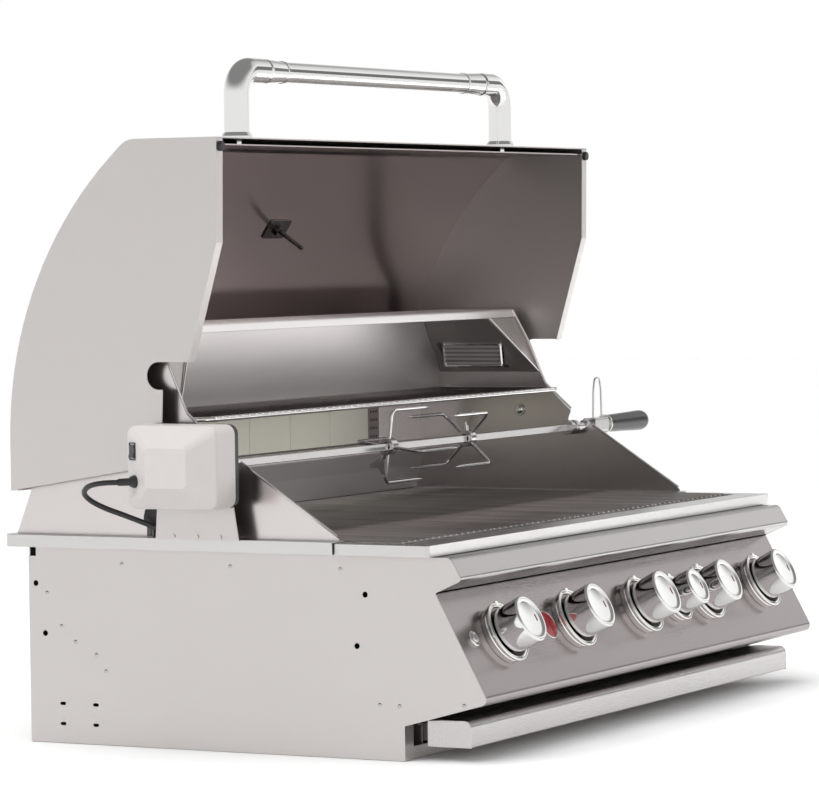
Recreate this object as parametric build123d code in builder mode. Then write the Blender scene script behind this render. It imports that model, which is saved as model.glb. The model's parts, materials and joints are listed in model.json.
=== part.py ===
from build123d import *
from math import atan2, cos, degrees, pi, radians, sin, sqrt, tan
import os

# A gas grill made to be dropped into an outdoor counter. X runs along its front, Y to its back and
# Z up. The origin is the middle of the floor pan's underside. The hood stands open.

# Sizes shared by the whole grill, in millimetres
sheet = 1.5
gap = 0.3
overrun = 5.0
casing_width = 965.0
casing_depth = 517.3
casing_height = 238.8
flange_depth = 15.2
flange_reach = 18.0
flange_rear_reach = 21.15
trim_front_reach = 41.35
trim_strip = 38.0
trim_arm_length = 86.8
rim_width = 30.5

half = casing_width / 2
inner = half - sheet
front = -casing_depth / 2
back = casing_depth / 2
flange_top = casing_height + flange_depth

# Control housing, seen from the side
panel_length = 142.8
panel_lean = 28.34
panel_reach = 109.9
panel_foot = 40.8
panel_low = 70.9
panel_bend = 8.0
nose_reach = 34.75
nose_rise = 15.4
nose_back = 15.0
nose_low_bend = 5.0
nose_top_bend = 8.0
seam_share = 0.09

panel_y = front - panel_reach
panel_top_y = panel_y + panel_length * sin(radians(panel_lean))
panel_top_z = panel_low + panel_length * cos(radians(panel_lean))
nose_y = panel_top_y - nose_reach
nose_z = panel_top_z + nose_rise
nose_top = casing_height - gap * 3
nose_top_y = nose_y + nose_back
trim_front = front - trim_front_reach
trim_rear = trim_front + trim_strip
arm_end = trim_rear + trim_arm_length
trim_top = flange_top - sheet - gap
panel_out = Vector(0, -cos(radians(panel_lean)), sin(radians(panel_lean)))
panel = Plane(origin=(0, panel_y, panel_low), x_dir=(1, 0, 0), z_dir=panel_out)
control_line = 77.5

# Walls above the counter, the hood and its hinge
wing_out = half - sheet / 2
wing_in = wing_out - sheet
wing_depth = 448.6
wing_rise = 252.0
wing_front = -174.0
hinge_y = 70.0
hinge_z = 365.0
pin_radius = 5.0
pin_clearance = 0.05
hood_half = 501.6
hood_roof = 729.0
hood_front = -28.0
hood_arc_y = -190.4
hood_arc_z = 369.2
hood_radius = 459.84
hood_low = 307.0
liner_gap = 8.0

# Firebox, what lies in it and what feeds it
box_side_gap = 13.0
box_half = half - box_side_gap
box_front = front + 2.65
box_back = 236.5
box_low = 64.0
grate_seat = 240.0
grate_top = 253.5
burner_axis = 118.0
manifold_half = 400.0
pipe_reach = 52.0

# Rotisserie
spit_y = -15.0
spit_z = 341.5
rod_size = 9.5
socket_play = 0.15

knob_shares = [-0.7896, -0.402, 0.0, 0.2052, 0.398, 0.7772]
small_knob = 3
burner_shares = [-0.788, -0.394, 0.0, 0.394, 0.788]

os.makedirs("parts", exist_ok=True)


def save(piece, name):
    """Label a finished piece and write it under its name."""
    piece.part.label = name
    export_step(piece.part, f"parts/{name}.step")


def area(x_low, x_high, y_low, y_high, mode=Mode.ADD):
    """Rectangle between limits."""
    with Locations(((x_low + x_high) / 2, (y_low + y_high) / 2)):
        Rectangle(x_high - x_low, y_high - y_low, mode=mode)


def block(x_low, x_high, y_low, y_high, z_low, z_high, mode=Mode.ADD):
    """Straight solid between limits."""
    middle = ((x_low + x_high) / 2, (y_low + y_high) / 2, (z_low + z_high) / 2)
    with Locations(middle):
        Box(x_high - x_low, y_high - y_low, z_high - z_low, mode=mode)


def bent_sheet(plane, line, bends, side, length, thick=sheet):
    """Sheet bent along a line of points in a plane and drawn out along the plane's normal."""
    with BuildPart() as piece:
        with BuildSketch(plane):
            with BuildLine():
                FilletPolyline(*line, radius=bends)
                offset(amount=thick, side=side)
            make_face()
        extrude(amount=length)
    return piece.part


def plate(plane, corners, thick):
    """Flat plate with straight edges."""
    with BuildPart() as piece:
        with BuildSketch(plane):
            with BuildLine():
                Polyline(*corners, close=True)
            make_face()
        extrude(amount=thick)
    return piece.part


def turned(seat, profile):
    """Turned piece on a seat; the profile's points are (radius, height above the seat)."""
    with BuildPart() as piece:
        with BuildSketch(Plane(seat.origin, x_dir=seat.x_dir, z_dir=-seat.y_dir)):
            with BuildLine():
                Polyline(*profile, close=True)
            make_face()
        revolve(axis=Axis(seat.origin, seat.z_dir))
    return piece.part


def other_side(part):
    """The same piece on the other side of the grill."""
    with BuildPart() as piece:
        add(part)
        mirror(about=Plane.YZ, mode=Mode.REPLACE)
    return piece


def on_panel(share, line=control_line):
    """Seat on the slanted panel at a share of the grill's half width."""
    return Plane(panel.from_local_coords((share * half, line, 0)), x_dir=(1, 0, 0), z_dir=panel_out)


# Side panels: one sheet each, with the end of the control housing cut in the same piece
notch_depth = 10.65
notch_height = 12.1
wall_hole = 3.5
slot_long = 8.0
slot_wide = 4.0
slot_step_y = 47.0
slot_step_z = 24.6
front_return = 20.0
side_hole_shares = [(0.9804, 0.8107), (0.956, 0.5565), (0.0969, 0.8065), (0.1194, 0.5536)]
slot_place_share = (0.8644, 0.1499)
housing_line = [
    (front, panel_foot),
    (panel_y, panel_low),
    (panel_top_y, panel_top_z),
    (nose_y, nose_z),
    (nose_top_y, nose_top),
    (trim_rear, nose_top),
]
housing_bends = [panel_bend, sheet, nose_low_bend, nose_top_bend]

with BuildPart() as side_panel_right:
    with BuildSketch(Plane.YZ.offset(inner)):
        with BuildLine():
            FilletPolyline(*housing_line, radius=housing_bends)
            Polyline(
                (trim_rear, nose_top),
                (trim_rear, trim_top - sheet),
                (arm_end, trim_top - sheet),
                (arm_end, flange_top - sheet),
                (back - notch_depth, flange_top - sheet),
                (back - notch_depth, casing_height - notch_height),
                (back, casing_height - notch_height),
                (back, 0),
                (front, 0),
                (front, panel_foot),
            )
        make_face()
        for along, up in side_hole_shares:
            with Locations((front + along * casing_depth, up * casing_height)):
                Circle(wall_hole, mode=Mode.SUBTRACT)
        place = (front + slot_place_share[0] * casing_depth, slot_place_share[1] * casing_height)
        with Locations(place):
            with GridLocations(slot_step_y, slot_step_z, 2, 2):
                SlotOverall(slot_long, slot_wide, mode=Mode.SUBTRACT)
    extrude(amount=sheet)
    block(inner - front_return, inner, front, front + sheet, 0, panel_foot - gap)
save(side_panel_right, "side_panel_right")
side_panel_left = other_side(side_panel_right.part)
save(side_panel_left, "side_panel_left")

# Rear panel with its row of vents and the hole of the gas pipe
vent_count = 12
vent_high = 8.0
vent_share = 0.82
pipe_radius = 8.0
pipe_x = manifold_half + pipe_reach
pipe_z = 54.5
with BuildPart() as rear_panel:
    block(-inner, inner, back - sheet, back, 0, flange_top - sheet)
    with BuildSketch(Plane.XZ.offset(-back - overrun)):
        vent_step = casing_width * vent_share / vent_count
        with Locations((0, casing_height * vent_share)):
            with GridLocations(vent_step, vent_high, vent_count, 1):
                SlotOverall(vent_step * vent_share, vent_high)
        with Locations((pipe_x, pipe_z)):
            Circle(pipe_radius + gap)
    extrude(amount=sheet + overrun * 2, mode=Mode.SUBTRACT)
save(rear_panel, "rear_panel")

# Floor pan with turned up edges
pan_lip = 15.0
with BuildPart() as floor_pan:
    block(-inner, inner, front + sheet, back - sheet, 0, pan_lip)
    block(
        -inner + sheet, inner - sheet, front + sheet * 2, back - sheet * 2, sheet, pan_lip,
        mode=Mode.SUBTRACT,
    )
save(floor_pan, "floor_pan")

# Slanted control panel, drilled for the valve stems and the light's button
stem_hole = 7.0
button_share = -0.9244
button_line = 80.0
button_radius = 7.0
with BuildPart() as control_panel:
    panel_sheet = bent_sheet(
        Plane.YZ.offset(-inner),
        [(panel_top_y, panel_top_z), (panel_y, panel_low), (front, panel_foot)],
        [panel_bend],
        Side.LEFT,
        inner * 2,
    )
    add(panel_sheet)
    with BuildSketch(Plane(panel.origin, x_dir=panel.x_dir, z_dir=panel.z_dir).offset(-overrun)):
        for share in knob_shares:
            with Locations((share * half, control_line)):
                Circle(stem_hole)
        with Locations((button_share * half, button_line)):
            Circle(button_radius + gap)
    extrude(amount=overrun * 2, mode=Mode.SUBTRACT)
save(control_panel, "control_panel")

# Bull nose over the panel, a seam apart from it
seam_y = panel_top_y - nose_reach * seam_share
seam_z = panel_top_z + nose_rise * seam_share + gap
with BuildPart() as bull_nose:
    nose_sheet = bent_sheet(
        Plane.YZ.offset(-inner),
        [(seam_y, seam_z), (nose_y, nose_z), (nose_top_y, nose_top), (trim_rear, nose_top)],
        [nose_low_bend, nose_top_bend],
        Side.RIGHT,
        inner * 2,
    )
    add(nose_sheet)
save(bull_nose, "bull_nose")


# Front trim and counter flange: two folded rims around the opening
rim_corner = 3.0
rim_inner = half + flange_reach - rim_width
trim_half = 496.5
lip_width = 16.5


def rim(half_out, closed, strip, opened, low, top):
    """Folded rim, open at one end: top sheet, outer skirt, and its two or three sides."""
    outward = 1 if closed > opened else -1
    lows = sorted([closed, opened])
    with BuildPart() as piece:
        with BuildSketch(Plane.XY.offset(low)):
            area(-half_out, half_out, lows[0], lows[1])
        extrude(amount=top - low)
        corners = piece.edges().filter_by(Axis.Z).sort_by(Axis.Y)
        chamfer(corners[-2:] if outward > 0 else corners[:2], rim_corner)
        hollow = sorted([closed - outward * sheet, opened - outward * overrun])
        wide = half_out - sheet
        block(-wide, wide, hollow[0], hollow[1], low - overrun, top - sheet, mode=Mode.SUBTRACT)
        mouth = sorted([strip, opened - outward * overrun])
        block(
            -rim_inner, rim_inner, mouth[0], mouth[1], low - overrun, top + overrun,
            mode=Mode.SUBTRACT,
        )
    return piece.part


with BuildPart() as front_trim:
    add(rim(trim_half, trim_front, trim_rear, arm_end - gap, casing_height - gap, trim_top))
save(front_trim, "front_trim")

flange_rear = back + flange_rear_reach
flange_half = half + flange_reach
with BuildPart() as counter_flange:
    add(rim(flange_half, flange_rear, flange_rear - rim_width, arm_end, casing_height, flange_top))
    lip_in = flange_half - lip_width
    lip_top = casing_height + sheet
    block(lip_in, flange_half - sheet, arm_end, flange_rear - sheet, casing_height, lip_top)
    block(-flange_half + sheet, -lip_in, arm_end, flange_rear - sheet, casing_height, lip_top)
    block(-lip_in, lip_in, back + sheet, flange_rear - sheet, casing_height, lip_top)
save(counter_flange, "counter_flange")

# Firebox liner: a deep frame with a flange around its top and ledges for what lies in it
box_top = trim_top - sheet
ledge = 12.0
tamer_seat = 165.0
burner_seat = 104.0
burner_shelf = 45.0
venturi_radius = 14.0
with BuildPart() as firebox:
    block(-inner, inner, box_front - ledge, box_back + ledge / 2, box_top - sheet, box_top)
    block(-box_half, box_half, box_front, box_back, box_low, box_top)
    block(
        -box_half + sheet, box_half - sheet, box_front + sheet, box_back - sheet,
        box_low - overrun, box_top + overrun, mode=Mode.SUBTRACT,
    )
    for seat in [grate_seat, tamer_seat]:
        wide = box_half - sheet
        block(-wide, wide, box_front + sheet, box_front + sheet + ledge, seat - sheet, seat)
        block(-wide, wide, box_back - sheet - ledge, box_back - sheet, seat - sheet, seat)
    block(
        -box_half + sheet, box_half - sheet, box_back - sheet - burner_shelf, box_back - sheet,
        burner_seat - sheet, burner_seat,
    )
    with BuildSketch(Plane.XZ.offset(-box_front - sheet - overrun)):
        for share in burner_shares:
            with Locations((share * half, burner_axis)):
                Circle(venturi_radius + gap)
    extrude(amount=sheet + overrun * 2, mode=Mode.SUBTRACT)
save(firebox, "firebox")

# Walls above the flange: their outline follows the open hood's hinge and carries the spit in a notch
notch_radius = 7.2
wing_shares = [
    (0.0, 0.0),
    (0.0, 0.012),
    (0.2958, 0.3563),
    (0.3027, 0.3575),
    (0.3767, 0.3913),
    (0.3674, 0.4373),
    (0.455, 0.5813),
    (0.4722, 0.6508),
    (0.5152, 0.8298),
    (0.5682, 1.0),
    (0.8114, 1.0),
    (0.905, 0.7381),
    (0.9452, 0.5),
    (0.9532, 0.2075),
    (1.0, 0.0),
]
wing_line = [(wing_front + y * wing_depth, flange_top + z * wing_rise) for y, z in wing_shares]
notch_front = wing_line[3]
notch_back = wing_line[4]


def spit_notch():
    """Open notch whose round bottom takes the spit."""
    with BuildSketch() as notch:
        with BuildLine() as sides:
            CenterArc((spit_y, spit_z), notch_radius, 0, 360)
            Polyline(
                notch_front,
                (notch_front[0], notch_back[1]),
                notch_back,
                close=True,
            )
        make_hull(sides.edges())
    return notch.sketch


with BuildPart() as wing_right:
    with BuildSketch(Plane.YZ.offset(wing_in)):
        with BuildLine():
            Polyline(*wing_line, close=True)
        make_face()
        add(spit_notch(), mode=Mode.SUBTRACT)
        with Locations((hinge_y, hinge_z)):
            Circle(pin_radius, mode=Mode.SUBTRACT)
    extrude(amount=sheet)
save(wing_right, "wing_right")
wing_left = other_side(wing_right.part)
save(wing_left, "wing_left")

# Hinge pins: head inside the wall, shoulder against its outside, shaft through the hood
pin_head = 8.0
pin_head_thick = 2.0
shoulder_radius = 10.0
shoulder_end = hood_half - sheet - gap
pin_end = hood_half + gap
hinge_seat = Plane(origin=(wing_in, hinge_y, hinge_z), x_dir=(0, 1, 0), z_dir=(1, 0, 0))
with BuildPart() as hinge_pins:
    pin = turned(
        hinge_seat,
        [
            (0, -pin_head_thick),
            (pin_head, -pin_head_thick),
            (pin_head, 0),
            (pin_radius, 0),
            (pin_radius, sheet),
            (shoulder_radius, sheet),
            (shoulder_radius, shoulder_end - wing_in),
            (pin_radius, shoulder_end - wing_in),
            (pin_radius, pin_end - wing_in),
            (0, pin_end - wing_in),
        ],
    )
    add(pin)
    mirror(about=Plane.YZ)
save(hinge_pins, "hinge_pins")

# Back cover between the walls, with its roof and the lip at the roof's front
roof_lip = 11.5
cover_bend = 3.0
cover_line = [
    (wing_line[-1][0], wing_line[-1][1]),
    wing_line[-2],
    wing_line[-3],
    wing_line[-4],
    wing_line[-5],
    wing_line[-6],
    (wing_line[-6][0] + gap, wing_line[-6][1] - roof_lip),
]
with BuildPart() as back_cover:
    cover_sheet = bent_sheet(
        Plane.YZ.offset(-wing_in),
        cover_line,
        [cover_bend] * 5,
        Side.LEFT,
        wing_in * 2,
    )
    add(cover_sheet)
    block(
        -wing_in, wing_in, wing_front, flange_rear + overrun, flange_top - overrun, flange_top,
        mode=Mode.SUBTRACT,
    )
save(back_cover, "back_cover")

# Rear infrared burner: a tray with a ceramic tile, dark perforated columns at both ends
tile_half = 325.0
tile_low = 325.0
tile_high = 386.0
tile_face = 228.0
tile_thick = 12.0
tray_column = 31.0
tray_half = tile_half + tray_column
tray_wall = 2.0
tray_deep = 14.0
tray_low = tile_low - tray_wall
tray_high = tile_high + tray_wall
hole_rows = 5
hole_columns = 3
hole_radius = 2.0
hole_step_share = 0.19
with BuildPart() as rear_burner_housing:
    tray_back = tile_face + tray_deep
    block(-tray_half, tray_half, tile_face, tray_back, tray_low, tray_high)
    block(
        -tile_half - gap, tile_half + gap, tile_face - overrun, tile_face + tile_thick,
        tile_low - gap, tile_high + gap, mode=Mode.SUBTRACT,
    )
    with BuildSketch(Plane.XZ.offset(-tile_face)):
        row_step = (tile_high - tile_low) * hole_step_share
        column_step = (tray_half - tile_half) / (hole_columns + 1)
        for side in [-1, 1]:
            with Locations((side * (tile_half + tray_half) / 2, (tile_low + tile_high) / 2)):
                with GridLocations(column_step, row_step, hole_columns, hole_rows):
                    RegularPolygon(hole_radius, 6)
    extrude(amount=-tray_wall, mode=Mode.SUBTRACT)
save(rear_burner_housing, "rear_burner_housing")

tile_count = 6
tile_joint = 1.0
with BuildPart() as rear_burner_tile:
    tile_width = tile_half * 2 / tile_count
    for i in range(tile_count):
        tile_x = -tile_half + tile_width * i
        block(
            tile_x + tile_joint / 2, tile_x + tile_width - tile_joint / 2, tile_face,
            tile_face + tile_thick, tile_low, tile_high,
        )
    block(-tile_half, tile_half, tile_face + tile_joint, tile_face + tile_thick, tile_low, tile_high)
save(rear_burner_tile, "rear_burner_tile")

# Inner back walls, above and below the rear burner
wall_foot_y = 200.0
wall_foot_z = 392.0
wall_head_y = 177.0
roof_inner = flange_top + wing_rise - sheet
with BuildPart() as back_wall_upper:
    upper_sheet = bent_sheet(
        Plane.YZ.offset(-wing_in),
        [(tray_back, wall_foot_z), (wall_foot_y, wall_foot_z), (wall_head_y, roof_inner - sheet)],
        [cover_bend],
        Side.RIGHT,
        wing_in * 2,
    )
    add(upper_sheet)
save(back_wall_upper, "back_wall_upper")

lip_step = 6.0
lip_y = tile_face - lip_step
band_low_y = 229.0
band_low_z = 285.0
lip_low = 309.0
with BuildPart() as back_wall_lower:
    lower_sheet = bent_sheet(
        Plane.YZ.offset(-wing_in),
        [
            (tray_back, tray_low - gap),
            (lip_y, tray_low - gap),
            (lip_y - gap, lip_low),
            (band_low_y, band_low_z),
            (box_back - gap, flange_top),
        ],
        [cover_bend, cover_bend, cover_bend],
        Side.LEFT,
        wing_in * 2,
    )
    add(lower_sheet)
    for side in [-1, 1]:
        ends = sorted([side * (tray_half + gap), side * wing_in])
        block(ends[0], ends[1], tile_face, tile_face + sheet, tray_low - gap, wall_foot_z - gap)
save(back_wall_lower, "back_wall_lower")

# Lamp housings: closed wedges under the roof, with the lens let into the slanted face
wedge_low = 418.0
wedge_in = 397.0
wedge_high = 496.0
wedge_set_back = 2.0
lens_long = 95.0
lens_wide = 51.0
lens_deep = 6.0
lens_y = 130.0
lens_up_share = 0.31
wedge_out = wing_in - gap
wall_lean = (wall_foot_y - wall_head_y) / (roof_inner - sheet - wall_foot_z)


def wall_face(z):
    """Front face of the upper back wall at a height."""
    return wall_foot_y - wall_lean * (z - wall_foot_z) - gap


def wing_edge(z):
    """Front edge of the side wall at a height under the roof, set back for the wedge."""
    low = wing_line[7]
    high = wing_line[9]
    share = (z - low[1]) / (high[1] - low[1])
    return low[0] + share * (high[0] - low[0]) + wedge_set_back


slope_angle = degrees(atan2(wedge_high - wedge_low, wing_in - wedge_in))
slope_length = sqrt((wedge_high - wedge_low) ** 2 + (wedge_out - wedge_in) ** 2)
lens_plane = Plane(
    origin=(wedge_out, lens_y, wedge_low),
    x_dir=(-cos(radians(slope_angle)), 0, sin(radians(slope_angle))),
    z_dir=(-sin(radians(slope_angle)), 0, -cos(radians(slope_angle))),
)
lens_seat = lens_plane.offset(-lens_deep)
lens_up = slope_length * lens_up_share
with BuildPart() as lamp_housings:
    under_roof = roof_inner - gap
    lip_back = wing_line[-6][0] + sheet + gap * 3
    lip_under = flange_top + wing_rise - roof_lip - gap
    with BuildSketch(Plane.YZ.offset(wedge_in - overrun)):
        with BuildLine():
            Polyline(
                (wing_edge(wedge_low), wedge_low),
                (wing_edge(lip_under), lip_under),
                (lip_back, lip_under),
                (lip_back, under_roof),
                (wall_face(under_roof), under_roof),
                (wall_face(wedge_low), wedge_low),
                close=True,
            )
        make_face()
    extrude(amount=wedge_out - wedge_in + overrun)
    wedge = plate(
        Plane.XZ.offset(-back),
        [
            (wedge_out, wedge_low),
            (wedge_in, wedge_high),
            (wedge_in, under_roof),
            (wedge_out, under_roof),
        ],
        casing_depth,
    )
    add(wedge, mode=Mode.INTERSECT)
    with BuildSketch(lens_seat):
        with Locations((lens_up, 0)):
            Rectangle(lens_wide + gap * 2, lens_long + gap * 2)
    extrude(amount=lens_deep + overrun, mode=Mode.SUBTRACT)
    mirror(about=Plane.YZ)
save(lamp_housings, "lamp_housings")

lens_corner = 4.0
with BuildPart() as lamp_lenses:
    with BuildSketch(lens_seat):
        with Locations((lens_up, 0)):
            RectangleRounded(lens_wide, lens_long, lens_corner)
    extrude(amount=lens_deep)
    mirror(about=Plane.YZ)
save(lamp_lenses, "lamp_lenses")

# Warming rack: a bent rod frame whose wires end as teeth above the front rod
rack_z = 394.0
rack_front = 5.0
rack_rear = 191.0
rack_half = wing_in - gap - 3.0
rack_rod = 3.0
rack_corner = 25.0
rack_wire = 1.6
rack_wires = 59
tooth = 4.0
with BuildPart() as warming_rack:
    with BuildLine() as rack_path:
        FilletPolyline(
            (-rack_half, rack_rear, rack_z),
            (-rack_half, rack_front, rack_z),
            (rack_half, rack_front, rack_z),
            (rack_half, rack_rear, rack_z),
            radius=rack_corner,
        )
    with BuildSketch(Plane(origin=rack_path.line @ 0, z_dir=rack_path.line % 0)):
        RegularPolygon(rack_rod, 8)
    sweep(transition=Transition.ROUND)
    with BuildSketch(Plane.YZ.offset(-rack_half)):
        with Locations((rack_rear - rack_rod, rack_z)):
            RegularPolygon(rack_rod, 8)
    extrude(amount=rack_half * 2)
    wire_step = rack_half * 2 / (rack_wires + 1)
    wire_z = rack_z + rack_wire
    with BuildSketch(Plane.XZ.offset(-rack_rear)):
        with Locations((0, wire_z)):
            with GridLocations(wire_step, tooth, rack_wires, 1):
                RegularPolygon(rack_wire, 6)
    extrude(amount=rack_rear - rack_front + rack_wire)
save(warming_rack, "warming_rack")

# Cooking grates: four panels of bars on two cross bars each
grate_count = 4
grate_step = 233.5
grate_width = 232.5
grate_front = box_front + sheet + gap * 2
grate_back = box_back - sheet - gap * 2
bars = 16
bar_wide = 4.2
cross_thick = 5.5
cross_wide = 9.0
cross_shares = [0.012, 0.35, 0.65, 0.988]
with BuildPart() as cooking_grates:
    grate_long = grate_back - grate_front
    for i in range(grate_count):
        grate_x = (i - (grate_count - 1) / 2) * grate_step
        for share in cross_shares:
            cross_y = grate_front + grate_long * share
            half_cross = min(cross_wide / 2, (cross_y - grate_front), (grate_back - cross_y))
            block(
                grate_x - grate_width / 2, grate_x + grate_width / 2, cross_y - half_cross,
                cross_y + half_cross, grate_seat, grate_seat + cross_thick,
            )
        with BuildSketch(Plane.XZ.offset(-grate_back)) as bar_ends:
            bar_half = (grate_top - grate_seat - cross_thick) / 2
            with Locations((grate_x, grate_top - bar_half)):
                with GridLocations((grate_width - bar_wide * 2) / (bars - 1), bar_half, bars, 1):
                    with BuildLine(mode=Mode.PRIVATE) as bar_line:
                        Polyline(
                            (-bar_wide, -bar_half),
                            (bar_wide, -bar_half),
                            (bar_wide / 2, bar_half),
                            (-bar_wide / 2, bar_half),
                            close=True,
                        )
                    add(make_face(bar_line.edges(), mode=Mode.PRIVATE))
        extrude(amount=grate_long)
save(cooking_grates, "cooking_grates")

# Main burners: flat pressed bodies with their venturi tubes through the firebox front
burner_half = 23.0
burner_thick = 26.0
burner_front = -200.0
burner_back = 200.0
burner_round = 10.0
venturi_front = box_front - 12.0
venturi_wall = 1.2
with BuildPart() as main_burners:
    for share in burner_shares:
        burner_x = share * half
        with BuildSketch(Plane.XZ.offset(-burner_back)):
            with Locations((burner_x, burner_axis)):
                RectangleRounded(burner_half * 2, burner_thick, burner_round)
        extrude(amount=burner_back - burner_front)
        with BuildSketch(Plane.XZ.offset(-burner_front)):
            with Locations((burner_x, burner_axis)):
                Circle(venturi_radius)
        extrude(amount=burner_front - venturi_front)
        with BuildSketch(Plane.XZ.offset(-burner_front)):
            with Locations((burner_x, burner_axis)):
                Circle(venturi_radius - venturi_wall)
        extrude(amount=burner_front - venturi_front, mode=Mode.SUBTRACT)
save(main_burners, "main_burners")

# Flame tamers: a ridged sheet over each burner
tamer_half = 55.0
tamer_rise = 25.0
tamer_front = box_front + sheet + gap
tamer_back = box_back - sheet - gap
tamer_ridge = 4.0
with BuildPart() as flame_tamers:
    for share in burner_shares:
        tamer_x = share * half
        ridge = bent_sheet(
            Plane.XZ.offset(-tamer_back),
            [
                (tamer_x - tamer_half, tamer_seat + sheet),
                (tamer_x, tamer_seat + tamer_rise),
                (tamer_x + tamer_half, tamer_seat + sheet),
            ],
            [tamer_ridge],
            Side.RIGHT,
            tamer_back - tamer_front,
        )
        add(ridge)
save(flame_tamers, "flame_tamers")

# Gas manifold behind the panel, one valve for each knob, and the supply pipe to the rear
manifold_radius = 11.0
manifold_in = 58.0
manifold_line = 49.0
valve_radius = 9.0
valve_deep = 33.0
valve_stem = 4.0
stem_out = 18.0
nut_radius = 12.0
nut_thick = 5.0
jet_radius = 4.5
jet_back = 20.0
manifold_seat = panel.from_local_coords((0, manifold_line, -manifold_in))
with BuildPart() as gas_manifold:
    with BuildSketch(Plane.YZ.offset(-manifold_half)):
        with Locations((manifold_seat.Y, manifold_seat.Z)):
            Circle(manifold_radius)
    extrude(amount=manifold_half * 2)
    for share in knob_shares:
        boss = Plane(
            panel.from_local_coords((share * half, manifold_line, -manifold_in)),
            x_dir=(1, 0, 0),
            z_dir=panel.y_dir,
        )
        with BuildSketch(boss):
            Circle(nut_radius - sheet)
        extrude(amount=control_line - manifold_line - valve_radius)
save(gas_manifold, "gas_manifold")

with BuildPart() as gas_valves:
    for share in knob_shares:
        stem_seat = on_panel(share)
        body_top = sheet + gap
        valve = turned(
            stem_seat,
            [
                (0, -manifold_in - valve_radius),
                (valve_radius, -manifold_in - valve_radius),
                (valve_radius, -valve_deep),
                (nut_radius, -valve_deep),
                (nut_radius, -valve_deep + nut_thick),
                (stem_hole - gap, -valve_deep + nut_thick),
                (stem_hole - gap, -body_top),
                (valve_stem + gap, -body_top),
                (valve_stem + gap, -body_top - nut_thick),
                (0, -body_top - nut_thick),
            ],
        )
        add(valve)
        jet = Plane(panel.from_local_coords((share * half, control_line, -manifold_in)))
        with BuildSketch(Plane(jet.origin, x_dir=(1, 0, 0), z_dir=(0, 1, 0))):
            Circle(jet_radius)
        extrude(amount=jet_back)
save(gas_valves, "gas_valves")

pipe_turn = 22.0
fitting_radius = 13.0
fitting_long = 26.0
fitting_bore = 6.0
pipe_drop_y = -268.0
with BuildPart() as supply_pipe:
    with BuildLine() as pipe_path:
        FilletPolyline(
            (manifold_half, manifold_seat.Y, manifold_seat.Z),
            (pipe_x, manifold_seat.Y, manifold_seat.Z),
            (pipe_x, pipe_drop_y, pipe_z),
            (pipe_x, back + gap, pipe_z),
            radius=pipe_turn,
        )
    with BuildSketch(Plane(origin=pipe_path.line @ 0, z_dir=pipe_path.line % 0)):
        Circle(pipe_radius)
    sweep()
    with BuildSketch(Plane.XZ.offset(-back - gap)):
        with Locations((pipe_x, pipe_z)):
            RegularPolygon(fitting_radius, 6)
            Circle(fitting_bore, mode=Mode.SUBTRACT)
    extrude(amount=-fitting_long)
save(supply_pipe, "supply_pipe")

# Knobs: a turned grip with a dished face, an index slot and its stem
knob_radius = 29.3
knob_back_radius = 28.4
knob_reach = 48.5
knob_lift = 3.0
knob_rim = 2.6
knob_dish = 2.4
knob_chamfer = 1.8
small_share = 0.83
small_reach_share = 0.96
knob_middle_drop = 3.6
index_inset = 10.8
index_long = 9.0
index_wide = 3.2
stem_sink = 5.0


def knob(share, scale):
    """One knob on its seat, with its stem reaching back through the panel."""
    seat = on_panel(share)
    face = knob_reach * (1 if scale == 1 else small_reach_share)
    wide = knob_radius * scale
    with BuildPart() as piece:
        body = turned(
            seat,
            [
                (0, -sheet - stem_sink),
                (valve_stem, -sheet - stem_sink),
                (valve_stem, knob_lift),
                (knob_back_radius * scale, knob_lift),
                (wide, face - knob_chamfer),
                (wide - knob_chamfer, face),
                (wide - knob_chamfer - knob_rim, face),
                (wide - knob_chamfer - knob_rim * 2, face - knob_dish),
                (0, face - knob_middle_drop),
            ],
        )
        add(body)
        with BuildSketch(Plane(panel.from_local_coords((share * half, control_line, face)),
                               x_dir=(1, 0, 0), z_dir=panel_out)):
            with Locations((0, wide - index_inset)):
                SlotOverall(index_long, index_wide, rotation=90)
        extrude(amount=-knob_dish * 2, mode=Mode.SUBTRACT)
    return piece


for number, share in enumerate(knob_shares):
    save(knob(share, small_share if number == small_knob else 1), f"knob_{number + 1}")

# Bezels: flared rings with a double lip around the knobs, and the small ring of the light's button
bezel_radius = 38.0
bezel_height = 14.0
bezel_waist = 34.6
bezel_lip = 2.4
bezel_wall = 1.6
bezel_step = 2.5
ring_radius = 10.0
ring_height = 3.0
with BuildPart() as knob_bezels:
    for number, share in enumerate(knob_shares):
        scale = small_share if number == small_knob else 1
        wide = bezel_radius * scale
        waist = bezel_waist * scale
        ring = turned(
            on_panel(share),
            [
                (waist - bezel_wall, 0),
                (waist, 0),
                (waist + sheet, bezel_height / 2),
                (wide, bezel_height - bezel_step),
                (wide, bezel_height - bezel_lip / 2),
                (wide - bezel_lip / 2, bezel_height),
                (wide - bezel_lip, bezel_height - bezel_lip / 2),
                (wide - bezel_lip * 2, bezel_height - bezel_lip / 2),
                (waist - bezel_wall, bezel_height / 2),
            ],
        )
        add(ring)
    button_ring = turned(
        on_panel(button_share, button_line),
        [
            (button_radius + gap, 0),
            (ring_radius, 0),
            (ring_radius - gap, ring_height - gap),
            (ring_radius - gap * 4, ring_height),
            (button_radius + gap, ring_height - gap),
        ],
    )
    add(button_ring)
save(knob_bezels, "knob_bezels")

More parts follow.
